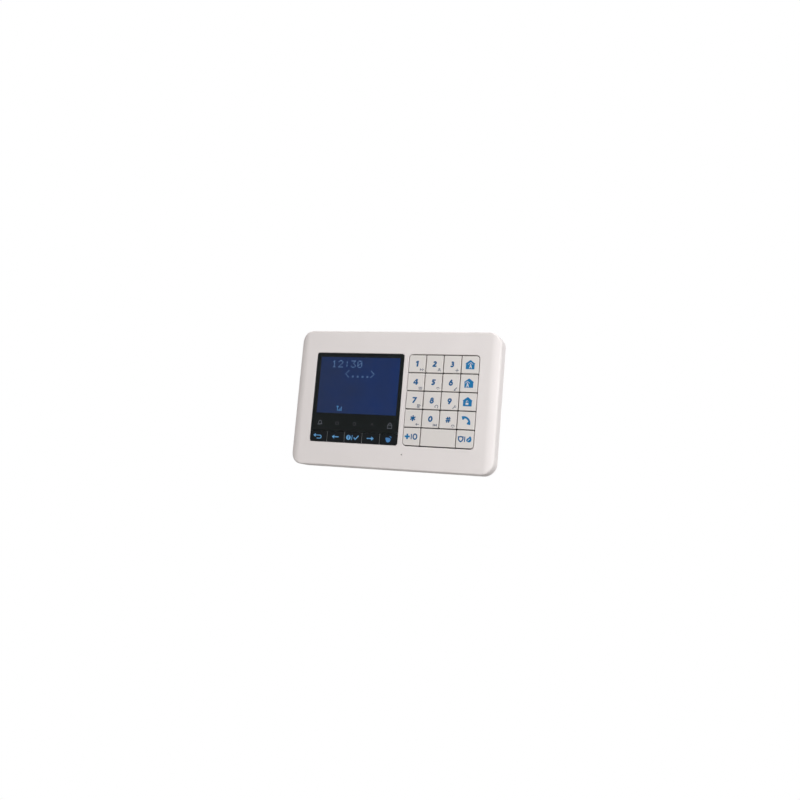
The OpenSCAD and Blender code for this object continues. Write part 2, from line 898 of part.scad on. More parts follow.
module tamper_plunger() {
    color("ivory") {
        layer(plunger_s, back_s + close_fit) at(tamper_place) circle(plunger_r);
        layer(flange_s, flange_s + flange_t) at(tamper_place) circle(flange_r);
    }
}

module tamper_spring() {
    from = board_back + switch_t + spring_wire + close_fit;
    length = flange_s - spring_wire - close_fit - from;
    color("silver") translate([tamper_place[0], from - panel_d, tamper_place[1]])
        rotate([-90, 0, 0]) coil(spring_r, spring_wire, length, spring_turns);
}

// ---- Battery ----

function cell_z(row) = (row - (cell_count - 1) / 2) * cell_pitch;

// The cells lie across the panel, turned end for end in alternate rows
module battery_cells() {
    nub_r = 1.9;
    nub_l = 1;
    color("steelblue") for (row = [0 : cell_count - 1]) {
        turn = row % 2 == 0 ? 0 : 180;
        translate([tray_x, cell_s - panel_d, cell_z(row)]) rotate([0, 90 + turn, 0])
            translate([0, 0, -cell_l / 2]) {
                cylinder(r = cell_r, h = cell_l - nub_l);
                cylinder(r = nub_r, h = cell_l);
            }
    }
}

// A spring contact: a wire cone that narrows towards the cell
module contact_cone(side, row) {
    base_r = 3.4;
    tip_r = 1.6;
    translate([tray_x + side * (tray_w - contact_t) / 2, cell_s - panel_d, cell_z(row)])
        rotate([0, -side * 90, 0])
            cylinder(r1 = base_r, r2 = tip_r, h = contact_gap + contact_t / 2 - seat);
}

module contact_plate(side, from_row, to_row) {
    height = (to_row - from_row) * cell_pitch + contact_h;
    middle = (cell_z(from_row) + cell_z(to_row)) / 2;
    layer(cell_s - contact_h / 2, cell_s + contact_h / 2)
        translate([tray_x + side * (tray_w - contact_t) / 2, middle])
            square([contact_t - seat, height], center = true);
}

module battery_contacts() {
    color("lightgray") {
        for (row = [0, cell_count - 1]) {
            contact_plate(-1, row, row);
            layer(board_back, cell_s) translate([tray_x - (tray_w - contact_t) / 2, cell_z(row)])
                square([contact_t - seat, leg_w], center = true);
        }
        contact_plate(-1, 1, 2);
        contact_plate(1, 0, 1);
        contact_plate(1, 2, 3);
        for (side = [-1, 1], row = [0 : cell_count - 1]) contact_cone(side, row);
    }
}

module battery_hatch() {
    color(covers_white) difference() {
        union() {
            layer(hatch_s, hatch_back) translate([hatch_x, 0])
                square([hatch_w, hatch_h], center = true);
            layer(hatch_s, hatch_s + tongue_t) translate([hatch_x, 0])
                square([hatch_w, hatch_h + 2 * tongue_w], center = true);
        }
        for (i = [0 : grip_ribs - 1])
            layer(hatch_back - grip_d, hatch_back + through)
                translate([tray_x - hatch_window[0] / 4 + i * grip_pitch, 0])
                    square([grip_pitch / 2, hatch_h / 3], center = true);
    }
}

front_cover();
rear_cover();
wall_bracket();
case_screws();
display_window();
window_gasket();
display_frame();
display_glass();
display_backlight();
display_connector();
status_shroud();
status_lights();
nav_key_guide();
key_guide();
key_mat();
nav_key_mat();
circuit_board();
board_screws();
contact_pads();
key_lights();
processor();
radio_module();
antenna();
sounder();
terminal_block();
microphone();
microphone_boot();
tamper_switch();
tamper_plunger();
tamper_spring();
battery_cells();
battery_contacts();
battery_hatch();
for (k = KEYPAD) keypad_key(k[1], k[2], k[3]);
for (i = [0 : len(NAV) - 1]) nav_key(i);
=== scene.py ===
"""Looks of the alarm keypad panel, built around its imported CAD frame.

Metres, +Z up. The wall is the plane y = 0, and the panel faces -Y.
"""

import json
import math

import bmesh
import bpy
from mathutils import Matrix, Quaternion, Vector


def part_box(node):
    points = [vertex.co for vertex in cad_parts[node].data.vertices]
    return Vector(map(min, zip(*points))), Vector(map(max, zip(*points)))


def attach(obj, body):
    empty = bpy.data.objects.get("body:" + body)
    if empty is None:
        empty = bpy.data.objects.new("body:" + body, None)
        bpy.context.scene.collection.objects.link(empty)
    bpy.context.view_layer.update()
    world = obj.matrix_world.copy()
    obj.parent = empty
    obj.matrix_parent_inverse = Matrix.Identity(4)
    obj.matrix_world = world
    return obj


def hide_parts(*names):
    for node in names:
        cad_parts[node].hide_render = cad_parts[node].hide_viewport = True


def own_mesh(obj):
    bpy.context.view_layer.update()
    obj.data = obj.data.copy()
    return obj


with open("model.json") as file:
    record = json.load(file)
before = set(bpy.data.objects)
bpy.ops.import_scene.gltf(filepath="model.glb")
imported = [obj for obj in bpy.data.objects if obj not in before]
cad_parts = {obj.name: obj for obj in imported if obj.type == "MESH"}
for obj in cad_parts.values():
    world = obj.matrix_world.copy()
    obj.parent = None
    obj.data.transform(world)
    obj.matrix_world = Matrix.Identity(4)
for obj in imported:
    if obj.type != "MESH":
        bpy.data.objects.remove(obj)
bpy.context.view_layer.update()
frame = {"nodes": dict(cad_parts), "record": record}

MM = 0.001
DOT = 0.83  # pitch of the display's dots, in mm
DOT_SIZE = 0.82 * DOT

# ---- Places, from the frame ----

LENS_LO, LENS_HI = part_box("display_window")
GLASS_LO, GLASS_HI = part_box("display_glass")
COVER_LO, COVER_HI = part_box("front_cover")
REAR_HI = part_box("rear_cover")[1]
BRACKET_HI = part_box("wall_bracket")[1]
HATCH_LO, HATCH_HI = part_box("battery_hatch")
FACE_Y = LENS_LO.y

DIGIT_KEYS = {
    "key_1": "1", "key_2": "2", "key_3": "3",
    "key_4": "4", "key_5": "5", "key_6": "6",
    "key_7": "7", "key_8": "8", "key_9": "9",
    "key_star": "*", "key_0": "0", "key_hash": "#",
}
PICTURE_KEYS = ["key_arm_away", "key_arm_home", "key_disarm", "key_phone", "key_emergency", "key_fire"]
KEYPAD_KEYS = [*DIGIT_KEYS, *PICTURE_KEYS, "key_wide"]
NAV_KEYS = ["nav_key_back", "nav_key_left", "nav_key_ok", "nav_key_right", "nav_key_guard"]


def front_of(node):
    """The middle of the front of a node's box."""
    lo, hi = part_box(node)
    return Vector(((lo.x + hi.x) / 2, lo.y, (lo.z + hi.z) / 2))


def arc(u, v, radius, start, end, steps=16):
    """Points on an arc, with angles in degrees."""
    return [
        (u + radius * math.cos(math.radians(a)), v + radius * math.sin(math.radians(a)))
        for a in (start + (end - start) * i / steps for i in range(steps + 1))
    ]


# ---- Colours and materials ----


def linear(r, g, b):
    """An 8-bit screen colour as linear RGB."""
    def channel(c):
        c /= 255
        return c / 12.92 if c <= 0.04045 else ((c + 0.055) / 1.055) ** 2.4

    return channel(r), channel(g), channel(b), 1.0


def new_material(name):
    """A material with its nodes, its links and its shader."""
    made = bpy.data.materials.new(name)
    made.use_nodes = True
    nodes = made.node_tree.nodes
    return made, nodes, made.node_tree.links, nodes["Principled BSDF"]


def noise(nodes, links, scale, detail=3.0, roughness=0.5, stretch=(1, 1, 1)):
    """A noise texture in the row frame's metres, with an optional stretch along each axis."""
    where = nodes.new("ShaderNodeTexCoord")
    mapping = nodes.new("ShaderNodeMapping")
    mapping.inputs["Scale"].default_value = stretch
    texture = nodes.new("ShaderNodeTexNoise")
    texture.inputs["Scale"].default_value = scale
    texture.inputs["Detail"].default_value = detail
    texture.inputs["Roughness"].default_value = roughness
    links.new(where.outputs["Object"], mapping.inputs["Vector"])
    links.new(mapping.outputs["Vector"], texture.inputs["Vector"])
    return texture


def ramp(nodes, links, source, low, high, start=0.3, end=0.7):
    """Colours from low to high as source goes from start to end."""
    made = nodes.new("ShaderNodeValToRGB")
    made.color_ramp.elements[0].position = start
    made.color_ramp.elements[0].color = low
    made.color_ramp.elements[1].position = end
    made.color_ramp.elements[1].color = high
    links.new(source, made.inputs["Fac"])
    return made.outputs["Color"]


def spread(nodes, links, source, low, high):
    """A number from low to high as source goes from 0.3 to 0.7."""
    made = nodes.new("ShaderNodeMapRange")
    made.inputs["From Min"].default_value = 0.3
    made.inputs["From Max"].default_value = 0.7
    made.inputs["To Min"].default_value = low
    made.inputs["To Max"].default_value = high
    links.new(source, made.inputs["Value"])
    return made.outputs["Result"]


def bump(nodes, links, source, depth, shader):
    """Relief of that depth in the shader's normal."""
    made = nodes.new("ShaderNodeBump")
    made.inputs["Strength"].default_value = 0.5
    made.inputs["Distance"].default_value = depth
    links.new(source, made.inputs["Height"])
    links.new(made.outputs["Normal"], shader.inputs["Normal"])


def tint(colour, factor):
    """A colour made lighter or darker."""
    return tuple(min(1.0, c * factor) for c in colour[:3]) + (1.0,)


def moulded(name, colour, rough=(0.42, 0.52), grain=0.35, grain_depth=0.012, mottle=0.015, specular=0.5):
    """Moulded plastic: a spark-eroded grain, of that size and depth in mm, and a faint mottle."""
    made, nodes, links, shader = new_material(name)
    cloud = noise(nodes, links, 1 / (28 * MM), detail=4)
    fine = noise(nodes, links, 1 / (grain * MM), detail=2, roughness=0.6)
    links.new(
        ramp(nodes, links, cloud.outputs["Fac"], tint(colour, 1 - mottle), tint(colour, 1 + mottle)),
        shader.inputs["Base Color"],
    )
    links.new(spread(nodes, links, fine.outputs["Fac"], *rough), shader.inputs["Roughness"])
    bump(nodes, links, fine.outputs["Fac"], grain_depth * MM, shader)
    shader.inputs["Specular IOR Level"].default_value = specular
    return made


def metal(name, colour, rough=(0.25, 0.4), grain=0.5, stretch=(1, 1, 1)):
    """Plated or rolled metal with a fine grain, which stretch draws out along an axis."""
    made, nodes, links, shader = new_material(name)
    shader.inputs["Metallic"].default_value = 1.0
    fine = noise(nodes, links, 1 / (grain * MM), detail=5, stretch=stretch)
    links.new(
        ramp(nodes, links, fine.outputs["Fac"], tint(colour, 0.85), tint(colour, 1.08)),
        shader.inputs["Base Color"],
    )
    links.new(spread(nodes, links, fine.outputs["Fac"], *rough), shader.inputs["Roughness"])
    bump(nodes, links, fine.outputs["Fac"], 0.004 * MM, shader)
    return made


def printed(name, colour, rough=0.45, mottle=0.06, specular=0.4):
    """A screen-printed ink, a little uneven in its cover."""
    made, nodes, links, shader = new_material(name)
    cover = noise(nodes, links, 1 / (0.6 * MM), detail=4)
    links.new(
        ramp(nodes, links, cover.outputs["Fac"], tint(colour, 1 - mottle), tint(colour, 1 + mottle)),
        shader.inputs["Base Color"],
    )
    shader.inputs["Roughness"].default_value = rough
    shader.inputs["Specular IOR Level"].default_value = specular
    return made


def glowing(name, low, high, strength, patch):
    """Glowing with its own light, as when lit from behind, and on the status pictures a painted glow for the
    lamp light that the lens keeps from them: its light wanders between two colours over patches of that many
    mm.
    """
    made, nodes, links, shader = new_material(name)
    wander = noise(nodes, links, 1 / (patch * MM), detail=3)
    links.new(
        ramp(nodes, links, wander.outputs["Fac"], low, high), shader.inputs["Emission Color"]
    )
    shader.inputs["Emission Strength"].default_value = strength
    shader.inputs["Base Color"].default_value = (0.02, 0.02, 0.03, 1)
    shader.inputs["Roughness"].default_value = 0.5
    return made


def clear_lens(name):
    """Hard-coated clear acrylic."""
    made, nodes, links, shader = new_material(name)
    shader.inputs["Transmission Weight"].default_value = 1.0
    shader.inputs["IOR"].default_value = 1.45
    shader.inputs["Specular IOR Level"].default_value = 0.12
    haze = noise(nodes, links, 1 / (9 * MM), detail=5)
    links.new(
        ramp(nodes, links, haze.outputs["Fac"], (0.86, 0.9, 0.93, 1), (0.94, 0.96, 0.98, 1)),
        shader.inputs["Base Color"],
    )
    links.new(spread(nodes, links, haze.outputs["Fac"], 0.0, 0.012), shader.inputs["Roughness"])
    return made


def lcd_glass(name):
    """The blue field of the display: its tone drifts from left to right, over a faint dot grid."""
    made, nodes, links, shader = new_material(name)
    where = nodes.new("ShaderNodeTexCoord")
    across = nodes.new("ShaderNodeSeparateXYZ")
    links.new(where.outputs["Generated"], across.inputs["Vector"])
    wander = noise(nodes, links, 1 / (26 * MM), detail=2)
    drift = nodes.new("ShaderNodeMix")
    drift.inputs["Factor"].default_value = 0.6
    links.new(across.outputs["X"], drift.inputs["A"])
    links.new(wander.outputs["Fac"], drift.inputs["B"])
    tone = ramp(nodes, links, drift.outputs["Result"], linear(22, 43, 85), linear(0, 42, 100))
    turn = nodes.new("ShaderNodeMapping")
    turn.inputs["Rotation"].default_value = (math.radians(-90), 0, 0)
    grid = nodes.new("ShaderNodeTexBrick")
    grid.offset = 0.0
    grid.inputs["Scale"].default_value = 1.0
    grid.inputs["Brick Width"].default_value = DOT * MM
    grid.inputs["Row Height"].default_value = DOT * MM
    grid.inputs["Mortar Size"].default_value = 0.05 * MM
    grid.inputs["Color1"].default_value = (1, 1, 1, 1)
    grid.inputs["Color2"].default_value = (1, 1, 1, 1)
    grid.inputs["Mortar"].default_value = (0.8, 0.8, 0.84, 1)
    mix = nodes.new("ShaderNodeMix")
    mix.data_type = "RGBA"
    mix.blend_type = "MULTIPLY"
    mix.inputs["Factor"].default_value = 1.0
    links.new(where.outputs["Object"], turn.inputs["Vector"])
    links.new(turn.outputs["Vector"], grid.inputs["Vector"])
    links.new(tone, mix.inputs["A"])
    links.new(grid.outputs["Color"], mix.inputs["B"])
    links.new(mix.outputs["Result"], shader.inputs["Emission Color"])
    shader.inputs["Emission Strength"].default_value = 0.85
    shader.inputs["Base Color"].default_value = linear(3, 8, 22)
    shader.inputs["Roughness"].default_value = 0.35
    shader.inputs["Specular IOR Level"].default_value = 0.0
    return made


TRACK_PITCH = 1.1
TRACK_BLOCK = 8
HOLE_PITCH = 2.6
WAVE_TURN = 0.314  # scale of a wave texture with one band per metre


def circuit(name):
    """Solder mask over copper tracks, which run up or across in blocks, with tinned holes."""
    made, nodes, links, shader = new_material(name)
    where = nodes.new("ShaderNodeTexCoord")
    textures = {}
    for kind, size, distance in [("blocks", TRACK_BLOCK, "CHEBYCHEV"), ("holes", HOLE_PITCH, "EUCLIDEAN")]:
        textures[kind] = nodes.new("ShaderNodeTexVoronoi")
        textures[kind].distance = distance
        textures[kind].inputs["Scale"].default_value = 1 / (size * MM)
    for direction in "XZ":
        textures[direction] = nodes.new("ShaderNodeTexWave")
        textures[direction].bands_direction = direction
        textures[direction].inputs["Scale"].default_value = WAVE_TURN / (TRACK_PITCH * MM)
    for texture in textures.values():
        links.new(where.outputs["Object"], texture.inputs["Vector"])
    chance = nodes.new("ShaderNodeSeparateColor")
    links.new(textures["blocks"].outputs["Color"], chance.inputs["Color"])
    upward = nodes.new("ShaderNodeMath")
    upward.operation = "GREATER_THAN"
    links.new(chance.outputs["Red"], upward.inputs[0])
    upward.inputs[1].default_value = 0.5
    lines = nodes.new("ShaderNodeMix")
    links.new(upward.outputs["Value"], lines.inputs["Factor"])
    links.new(textures["X"].outputs["Fac"], lines.inputs["A"])
    links.new(textures["Z"].outputs["Fac"], lines.inputs["B"])
    mask = ramp(
        nodes, links, lines.outputs["Result"], linear(18, 84, 48), linear(48, 128, 74), 0.7, 0.78
    )
    near = ramp(
        nodes, links, textures["holes"].outputs["Distance"], (1, 1, 1, 1), (0, 0, 0, 1), 0.12, 0.14
    )
    tone = nodes.new("ShaderNodeMix")
    tone.data_type = "RGBA"
    links.new(near, tone.inputs["Factor"])
    links.new(mask, tone.inputs["A"])
    tone.inputs["B"].default_value = linear(196, 194, 182)
    links.new(tone.outputs["Result"], shader.inputs["Base Color"])
    bump(nodes, links, lines.outputs["Result"], 0.03 * MM, shader)
    shader.inputs["Roughness"].default_value = 0.28
    return made


CELL_ZONES = [0, 0.035, 0.72, 0.965]  # where steel, sleeve, band and steel start along a cell


def battery(name):
    """A printed sleeve with a copper-coloured band, and bare steel at both ends."""
    made, nodes, links, shader = new_material(name)
    where = nodes.new("ShaderNodeTexCoord")
    along = nodes.new("ShaderNodeSeparateXYZ")
    links.new(where.outputs["Generated"], along.inputs["Vector"])
    wear = noise(nodes, links, 1 / (3 * MM), detail=6)
    steel, sleeve, band_tone = linear(200, 200, 198), linear(46, 92, 136), linear(196, 128, 82)
    for socket, tones in [
        ("Base Color", [steel, sleeve, band_tone, steel]),
        ("Metallic", [(1, 1, 1, 1), (0, 0, 0, 1), (0.4, 0.4, 0.4, 1), (1, 1, 1, 1)]),
    ]:
        zones = nodes.new("ShaderNodeValToRGB")
        zones.color_ramp.interpolation = "CONSTANT"
        stops = zones.color_ramp.elements
        while len(stops) < len(tones):
            stops.new(0.5)
        for stop, position, tone in zip(stops, CELL_ZONES, tones):
            stop.position = position
            stop.color = tone
        links.new(along.outputs["X"], zones.inputs["Fac"])
        links.new(zones.outputs["Color"], shader.inputs[socket])
    links.new(spread(nodes, links, wear.outputs["Fac"], 0.22, 0.4), shader.inputs["Roughness"])
    bump(nodes, links, wear.outputs["Fac"], 0.01 * MM, shader)
    return made


COVER = linear(224, 219, 218)
KEY = linear(215, 211, 208)
SMOKE = linear(26, 29, 31)

# The finish of each material slot
FINISH = {
    "cover_white": moulded("cover_white", COVER, rough=(0.46, 0.56), specular=0.3),
    "bracket_white": moulded("bracket_white", linear(214, 211, 206), rough=(0.5, 0.62), grain=0.6),
    "key_white": moulded("key_white", KEY, rough=(0.38, 0.46), grain=0.25, grain_depth=0.006),
    # The key skirts' near-black is painted shade: it darkens the narrow gaps between the keys
    "key_skirt_painted_shade": moulded("key_skirt_painted_shade", linear(18, 23, 32), rough=(0.5, 0.6), grain=0.3, specular=0.2),
    "smoke_lens": clear_lens("smoke_lens"),
    "key_black": moulded("key_black", SMOKE, rough=(0.16, 0.24), grain=0.5, grain_depth=0.002,
                         mottle=0.1, specular=0.15),
    "rib_grey": moulded("rib_grey", linear(96, 100, 102), grain=0.3),
    "display_blue": lcd_glass("display_blue"),
    "diffuser": moulded("diffuser", linear(224, 232, 240), grain=0.8),
    "black_plastic": moulded("black_plastic", linear(30, 31, 33), rough=(0.5, 0.65)),
    "guide_grey": moulded("guide_grey", linear(40, 43, 48)),
    "silicone": moulded("silicone", linear(200, 202, 204), rough=(0.6, 0.75), grain=0.7),
    "black_rubber": moulded("black_rubber", linear(26, 26, 27), rough=(0.7, 0.85), grain=0.4),
    "board_green": circuit("board_green"),
    "screw_steel": metal("screw_steel", linear(196, 196, 198)),
    "spring_steel": metal("spring_steel", linear(190, 190, 196), grain=0.2),
    "contact_gold": metal("contact_gold", linear(226, 186, 104), rough=(0.18, 0.3)),
    "copper_wire": metal("copper_wire", linear(206, 128, 78), rough=(0.2, 0.32)),
    "light_white": glowing("light_white", linear(190, 205, 225), linear(235, 240, 250), 0.6, patch=0.5),
    "chip_black": moulded("chip_black", linear(36, 36, 38), rough=(0.5, 0.6), grain=0.15),
    "shield_tin": metal("shield_tin", linear(205, 205, 200), grain=0.8, stretch=(0.2, 1, 1)),
    "mic_can": metal("mic_can", linear(200, 200, 204)),
    "terminal_green": moulded("terminal_green", linear(30, 120, 84)),
    "plunger_ivory": moulded("plunger_ivory", linear(228, 220, 200)),
    "cell_blue": battery("cell_blue"),
    "contact_steel": metal("contact_steel", linear(208, 208, 204), stretch=(1, 0.2, 1)),
}
# What the artwork is printed or lit with, and the painted glow of the status pictures
INK = {
    "ink_blue": printed("ink_blue", linear(10, 112, 166)),
    "ink_navy": printed("ink_navy", linear(6, 87, 138)),
    "ink_grey": printed("ink_grey", linear(72, 84, 106)),
    "mask_black": printed("mask_black", linear(32, 41, 41), rough=0.6, mottle=0.04, specular=0.05),
    # The status pictures are printed, not lit: these glows are painted light for the lamp light they would
    # reflect
    "mask_grey_painted_glow": glowing("mask_grey_painted_glow", linear(76, 80, 86), linear(98, 102, 110), 1.0, patch=1.5),
    "mask_faint_painted_glow": glowing("mask_faint_painted_glow", linear(34, 38, 42), linear(42, 46, 50), 1.0, patch=1.5),
    "nav_glow": glowing("nav_glow", linear(52, 116, 170), linear(104, 170, 216), 0.9, patch=2.2),
    "nav_glow_dim": glowing("nav_glow_dim", linear(26, 86, 142), linear(62, 128, 186), 0.9, patch=2.2),
    "lcd_text": glowing("lcd_text", linear(60, 96, 146), linear(94, 132, 180), 0.85, patch=4.0),
    "lcd_dim": glowing("lcd_dim", linear(50, 82, 132), linear(84, 120, 168), 0.85, patch=6.0),
    "lcd_symbol": glowing("lcd_symbol", linear(44, 104, 160), linear(74, 138, 190), 0.9, patch=2.5),
}


# ---- Refined CAD pieces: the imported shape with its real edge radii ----

# The front cover's surface, in mm as in the CAD: its outline, its rolled sides, and the radius
# on the rim of its face
CORNER_R = 10
ROLL_REACH, ROLL_FALL = 7.5, 2.5
RIM_R = 1.2
RIM_STEPS, CORNER_STEPS, TOP_STEPS = 8, 24, 4
SKIN = 0.03  # how far the smooth surface lies inside the faceted one


def face_fall(x):
    """How far the face has fallen back at x, where both sides roll away on an arc."""
    arc_r = (ROLL_REACH**2 + ROLL_FALL**2) / (2 * ROLL_FALL)
    out = abs(x) - (COVER_HI.x / MM - ROLL_REACH)
    return arc_r - math.sqrt(arc_r**2 - out**2) if out > 0 else 0.0


def upper_outline(inset):
    """The upper half of the cover's outline from right to left, inset in mm."""
    corner_x, top = COVER_HI.x / MM - CORNER_R, COVER_HI.z / MM - inset
    corner = arc(corner_x, COVER_HI.z / MM - CORNER_R, CORNER_R - inset, 0, 90, CORNER_STEPS)
    edge = [(corner_x * (1 - i / TOP_STEPS), top) for i in range(1, TOP_STEPS)]
    right = corner + edge
    return right + [(0.0, top)] + [(-x, z) for x, z in right[::-1]]


def cover_skin():
    """A closed solid round the front cover, with a smooth rolled and rounded face."""
    rings = [(SKIN, RIM_R + (COVER_HI.y - COVER_LO.y) / MM)]
    for i in range(RIM_STEPS + 1):
        turn = math.radians(90 * i / RIM_STEPS)
        rings.append((SKIN + RIM_R * (1 - math.cos(turn)), RIM_R * (1 - math.sin(turn))))
    bm = bmesh.new()
    loops = []
    for i, (inset, drop) in enumerate(rings):
        upper = upper_outline(inset)
        outline = upper + [(x, -z) for x, z in upper[::-1]]
        loops.append([
            bm.verts.new((x * MM, COVER_LO.y + (SKIN + drop + (face_fall(x) if i else 0)) * MM, z * MM))
            for x, z in outline
        ])
    count = len(loops[0])
    for outer, inner in zip(loops, loops[1:]):
        for j in range(count):
            k = (j + 1) % count
            bm.faces.new((outer[j], outer[k], inner[k], inner[j]))
    face = loops[-1]
    for j in range(count // 2 - 1):
        bm.faces.new((face[j], face[j + 1], face[-j - 2], face[-j - 1]))
    bm.faces.new(loops[0][::-1])
    bmesh.ops.recalc_face_normals(bm, faces=bm.faces)
    mesh = bpy.data.meshes.new("cover_skin")
    bm.to_mesh(mesh)
    bm.free()
    return mesh


def combined(mesh, other, operation):
    """One closed mesh with another added or cut away, by INTERSECT, UNION or DIFFERENCE."""
    holders = [bpy.data.objects.new("holder", m) for m in (mesh, other)]
    for holder in holders:
        bpy.context.scene.collection.objects.link(holder)
    cut = holders[0].modifiers.new("cut", "BOOLEAN")
    cut.operation = operation
    cut.solver = "EXACT"
    cut.object = holders[1]
    made = bpy.data.meshes.new_from_object(
        holders[0].evaluated_get(bpy.context.evaluated_depsgraph_get())
    )
    for holder in holders:
        bpy.data.objects.remove(holder)
    bpy.data.meshes.remove(mesh)
    bpy.data.meshes.remove(other)
    return made


RIDGE_ANGLE = 28  # the least turn, in degrees, at an edge that is rounded


def is_ridge(edge):
    """Does the edge stand out between two faces that clearly turn away from each other?"""
    return (
        len(edge.link_faces) == 2
        and edge.is_convex
        and edge.calc_face_angle(0) > math.radians(RIDGE_ANGLE)
    )


def edge_middle(edge):
    """The point half way along an edge."""
    return (edge.verts[0].co + edge.verts[1].co) / 2


def refine(node, body, slot, radii, skirt=None, skin=None, smooth=30.0):
    """A copy of a CAD node's mesh with rounded edges, which stands for the node.

    radii is a list of (radius in mm, segments, test), where test says by an edge's middle
    whether that edge is rounded. skirt is the finish of all that lies deeper than the first
    radius, a dark colour that paints the shade in the gaps round a key, and skin a closed
    solid that the node's shape is cut to.
    """
    skirt_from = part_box(node)[0].y + radii[0][0] * MM if skirt else 0
    mesh = frame["nodes"][node].data.copy()
    bm = bmesh.new()
    bm.from_mesh(mesh)
    bmesh.ops.remove_doubles(bm, verts=bm.verts, dist=1e-6)
    if skin:
        bm.to_mesh(mesh)
        bm.clear()
        mesh = combined(mesh, skin, "INTERSECT")
        bm.from_mesh(mesh)
    mesh.name = node + "_shell"
    bmesh.ops.dissolve_limit(bm, angle_limit=math.radians(0.2), verts=bm.verts, edges=bm.edges)
    for radius, segments, test in radii:
        chosen = [e for e in bm.edges if is_ridge(e) and test(edge_middle(e))]
        bmesh.ops.bevel(
            bm, geom=chosen, offset=radius * MM, offset_type="OFFSET", segments=segments,
            profile=0.5, affect="EDGES", clamp_overlap=True, miter_outer="SHARP",
        )
    for face in bm.faces:
        face.smooth = True
        face.material_index = int(bool(skirt) and face.calc_center_median().y > skirt_from)
    for edge in bm.edges:
        edge.smooth = len(edge.link_faces) == 2 and edge.calc_face_angle(0) < math.radians(smooth)
    bm.to_mesh(mesh)
    bm.free()
    piece = bpy.data.objects.new(node + "_shell", mesh)
    bpy.context.scene.collection.objects.link(piece)
    piece.modifiers.new("even_shading", "WEIGHTED_NORMAL").keep_sharp = True
    mesh.materials.clear()
    mesh.materials.append(FINISH[slot])
    if skirt:
        mesh.materials.append(FINISH[skirt])
    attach(piece, body)
    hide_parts(node)
    return piece


def outside(point, half_w, half_h):
    """Is the point outside a rectangle round the middle of the panel?"""
    return abs(point.x) > half_w or abs(point.z) > half_h


# Which edges are rounded: those at a given depth, and outside or inside a rectangle in mm


def back_rim(point):
    """The front cover's outer edge at its back."""
    return outside(point, 76 * MM, 50 * MM) and point.y > COVER_HI.y - MM / 2


def opening_rim(point):
    """The edges of the front cover's openings, in its face."""
    return not outside(point, 76 * MM, 38 * MM) and point.y < FACE_Y + MM / 10


def rear_rim(point):
    """The rear cover's outer edge at its back."""
    return outside(point, 77 * MM, 47.5 * MM) and point.y > REAR_HI.y - 0.2 * MM


def bracket_rim(point):
    """The bracket's outer edges."""
    return outside(point, 72 * MM, 43 * MM) and point.y > BRACKET_HI.y - 3.2 * MM


def hatch_rim(point):
    """The edges in the hatch's outer face."""
    return point.y > HATCH_HI.y - 0.1 * MM


def front_rim(node):
    """The test for the edges in the front face of that node."""
    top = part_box(node)[0].y
    return lambda point: point.y < top + 0.1 * MM


refine("front_cover", "unit", "cover_white", [(0.5, 3, opening_rim), (0.4, 2, back_rim)],
       skin=cover_skin())
refine("rear_cover", "unit", "cover_white", [(0.8, 3, rear_rim)])
refine("wall_bracket", "bracket", "bracket_white", [(0.4, 2, bracket_rim)])
refine("battery_hatch", "battery_hatch", "cover_white", [(0.15, 2, hatch_rim)])
refine("display_window", "unit", "smoke_lens", [(0.2, 3, front_rim("display_window"))])

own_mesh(refine("tamper_spring", "unit", "spring_steel", [], smooth=60.0))

for key in KEYPAD_KEYS:
    # Each key's sides below its rounded rim take the dark skirt finish, painted shade for the gaps
    refine(key, key, "key_white", [(0.3, 3, front_rim(key))], skirt="key_skirt_painted_shade")
for key in NAV_KEYS:
    refine(key, key, "key_black", [(0.2, 2, front_rim(key))])

# ---- Finish of the other CAD nodes ----

SLOT_OF = {part["node"]: part["material_slot"] for part in frame["record"]["subparts"]}
for name, node in frame["nodes"].items():
    node.data.materials.clear()
    node.data.materials.append(FINISH[SLOT_OF[name]])

# ---- Flat artwork, drawn in mm with u to the right and v up ----

INK_THICK = 0.06 * MM
INK_SUNK = 0.03 * MM
MITRE_LIMIT = 0.35  # the least share of a line's width over the reach of its corners


def disc(u, v, radius, steps=24):
    """A circle."""
    return arc(u, v, radius, 0, 360 - 360 / steps, steps - 1)


def rect(u, v, w, h):
    """An upright rectangle."""
    return [(u - w / 2, v - h / 2), (u + w / 2, v - h / 2), (u + w / 2, v + h / 2), (u - w / 2, v + h / 2)]


def ellipse(u, v, half_w, half_h, steps=32):
    """An upright ellipse."""
    return [(u + half_w * x, v + half_h * y) for x, y in disc(0, 0, 1, steps)]


def directions(path, i, closed):
    """The directions into and out of a path's point."""
    n = len(path)
    before = path[i - 1] if closed or i > 0 else path[0]
    after = path[(i + 1) % n] if closed or i < n - 1 else path[-1]
    here = path[i]
    a = Vector((here[0] - before[0], here[1] - before[1]))
    b = Vector((after[0] - here[0], after[1] - here[1]))
    if a.length == 0:
        a = b
    if b.length == 0:
        b = a
    return a.normalized(), b.normalized()


def offset_path(path, width, closed):
    """Points beside a path, at width(i) to its left."""
    made = []
    for i, (u, v) in enumerate(path):
        a, b = directions(path, i, closed)
        left = Vector((-a.y - b.y, a.x + b.x)).normalized()
        share = max(MITRE_LIMIT, left.dot(Vector((-a.y, a.x))))
        made.append((u + left.x * width(i) / share, v + left.y * width(i) / share))
    return made


def ribbon(path, width):
    """An open line of that width, as one outline."""
    left = offset_path(path, lambda i: width / 2, False)
    right = offset_path(path, lambda i: -width / 2, False)
    return [left + right[::-1]]


def band(path, width):
    """A closed line of that width: its outer and inner loops."""
    return [
        offset_path(path, lambda i: -width / 2, True),
        offset_path(path, lambda i: width / 2, True),
    ]


def soft(points):
    """Marks a loop whose points are joined by a smooth curve."""
    return ("soft", points)


def moved(shapes, du, dv, scale=1.0):
    """Shapes of straight lines, scaled and then moved."""
    return [[[(u * scale + du, v * scale + dv) for u, v in loop] for loop in shape] for shape in shapes]


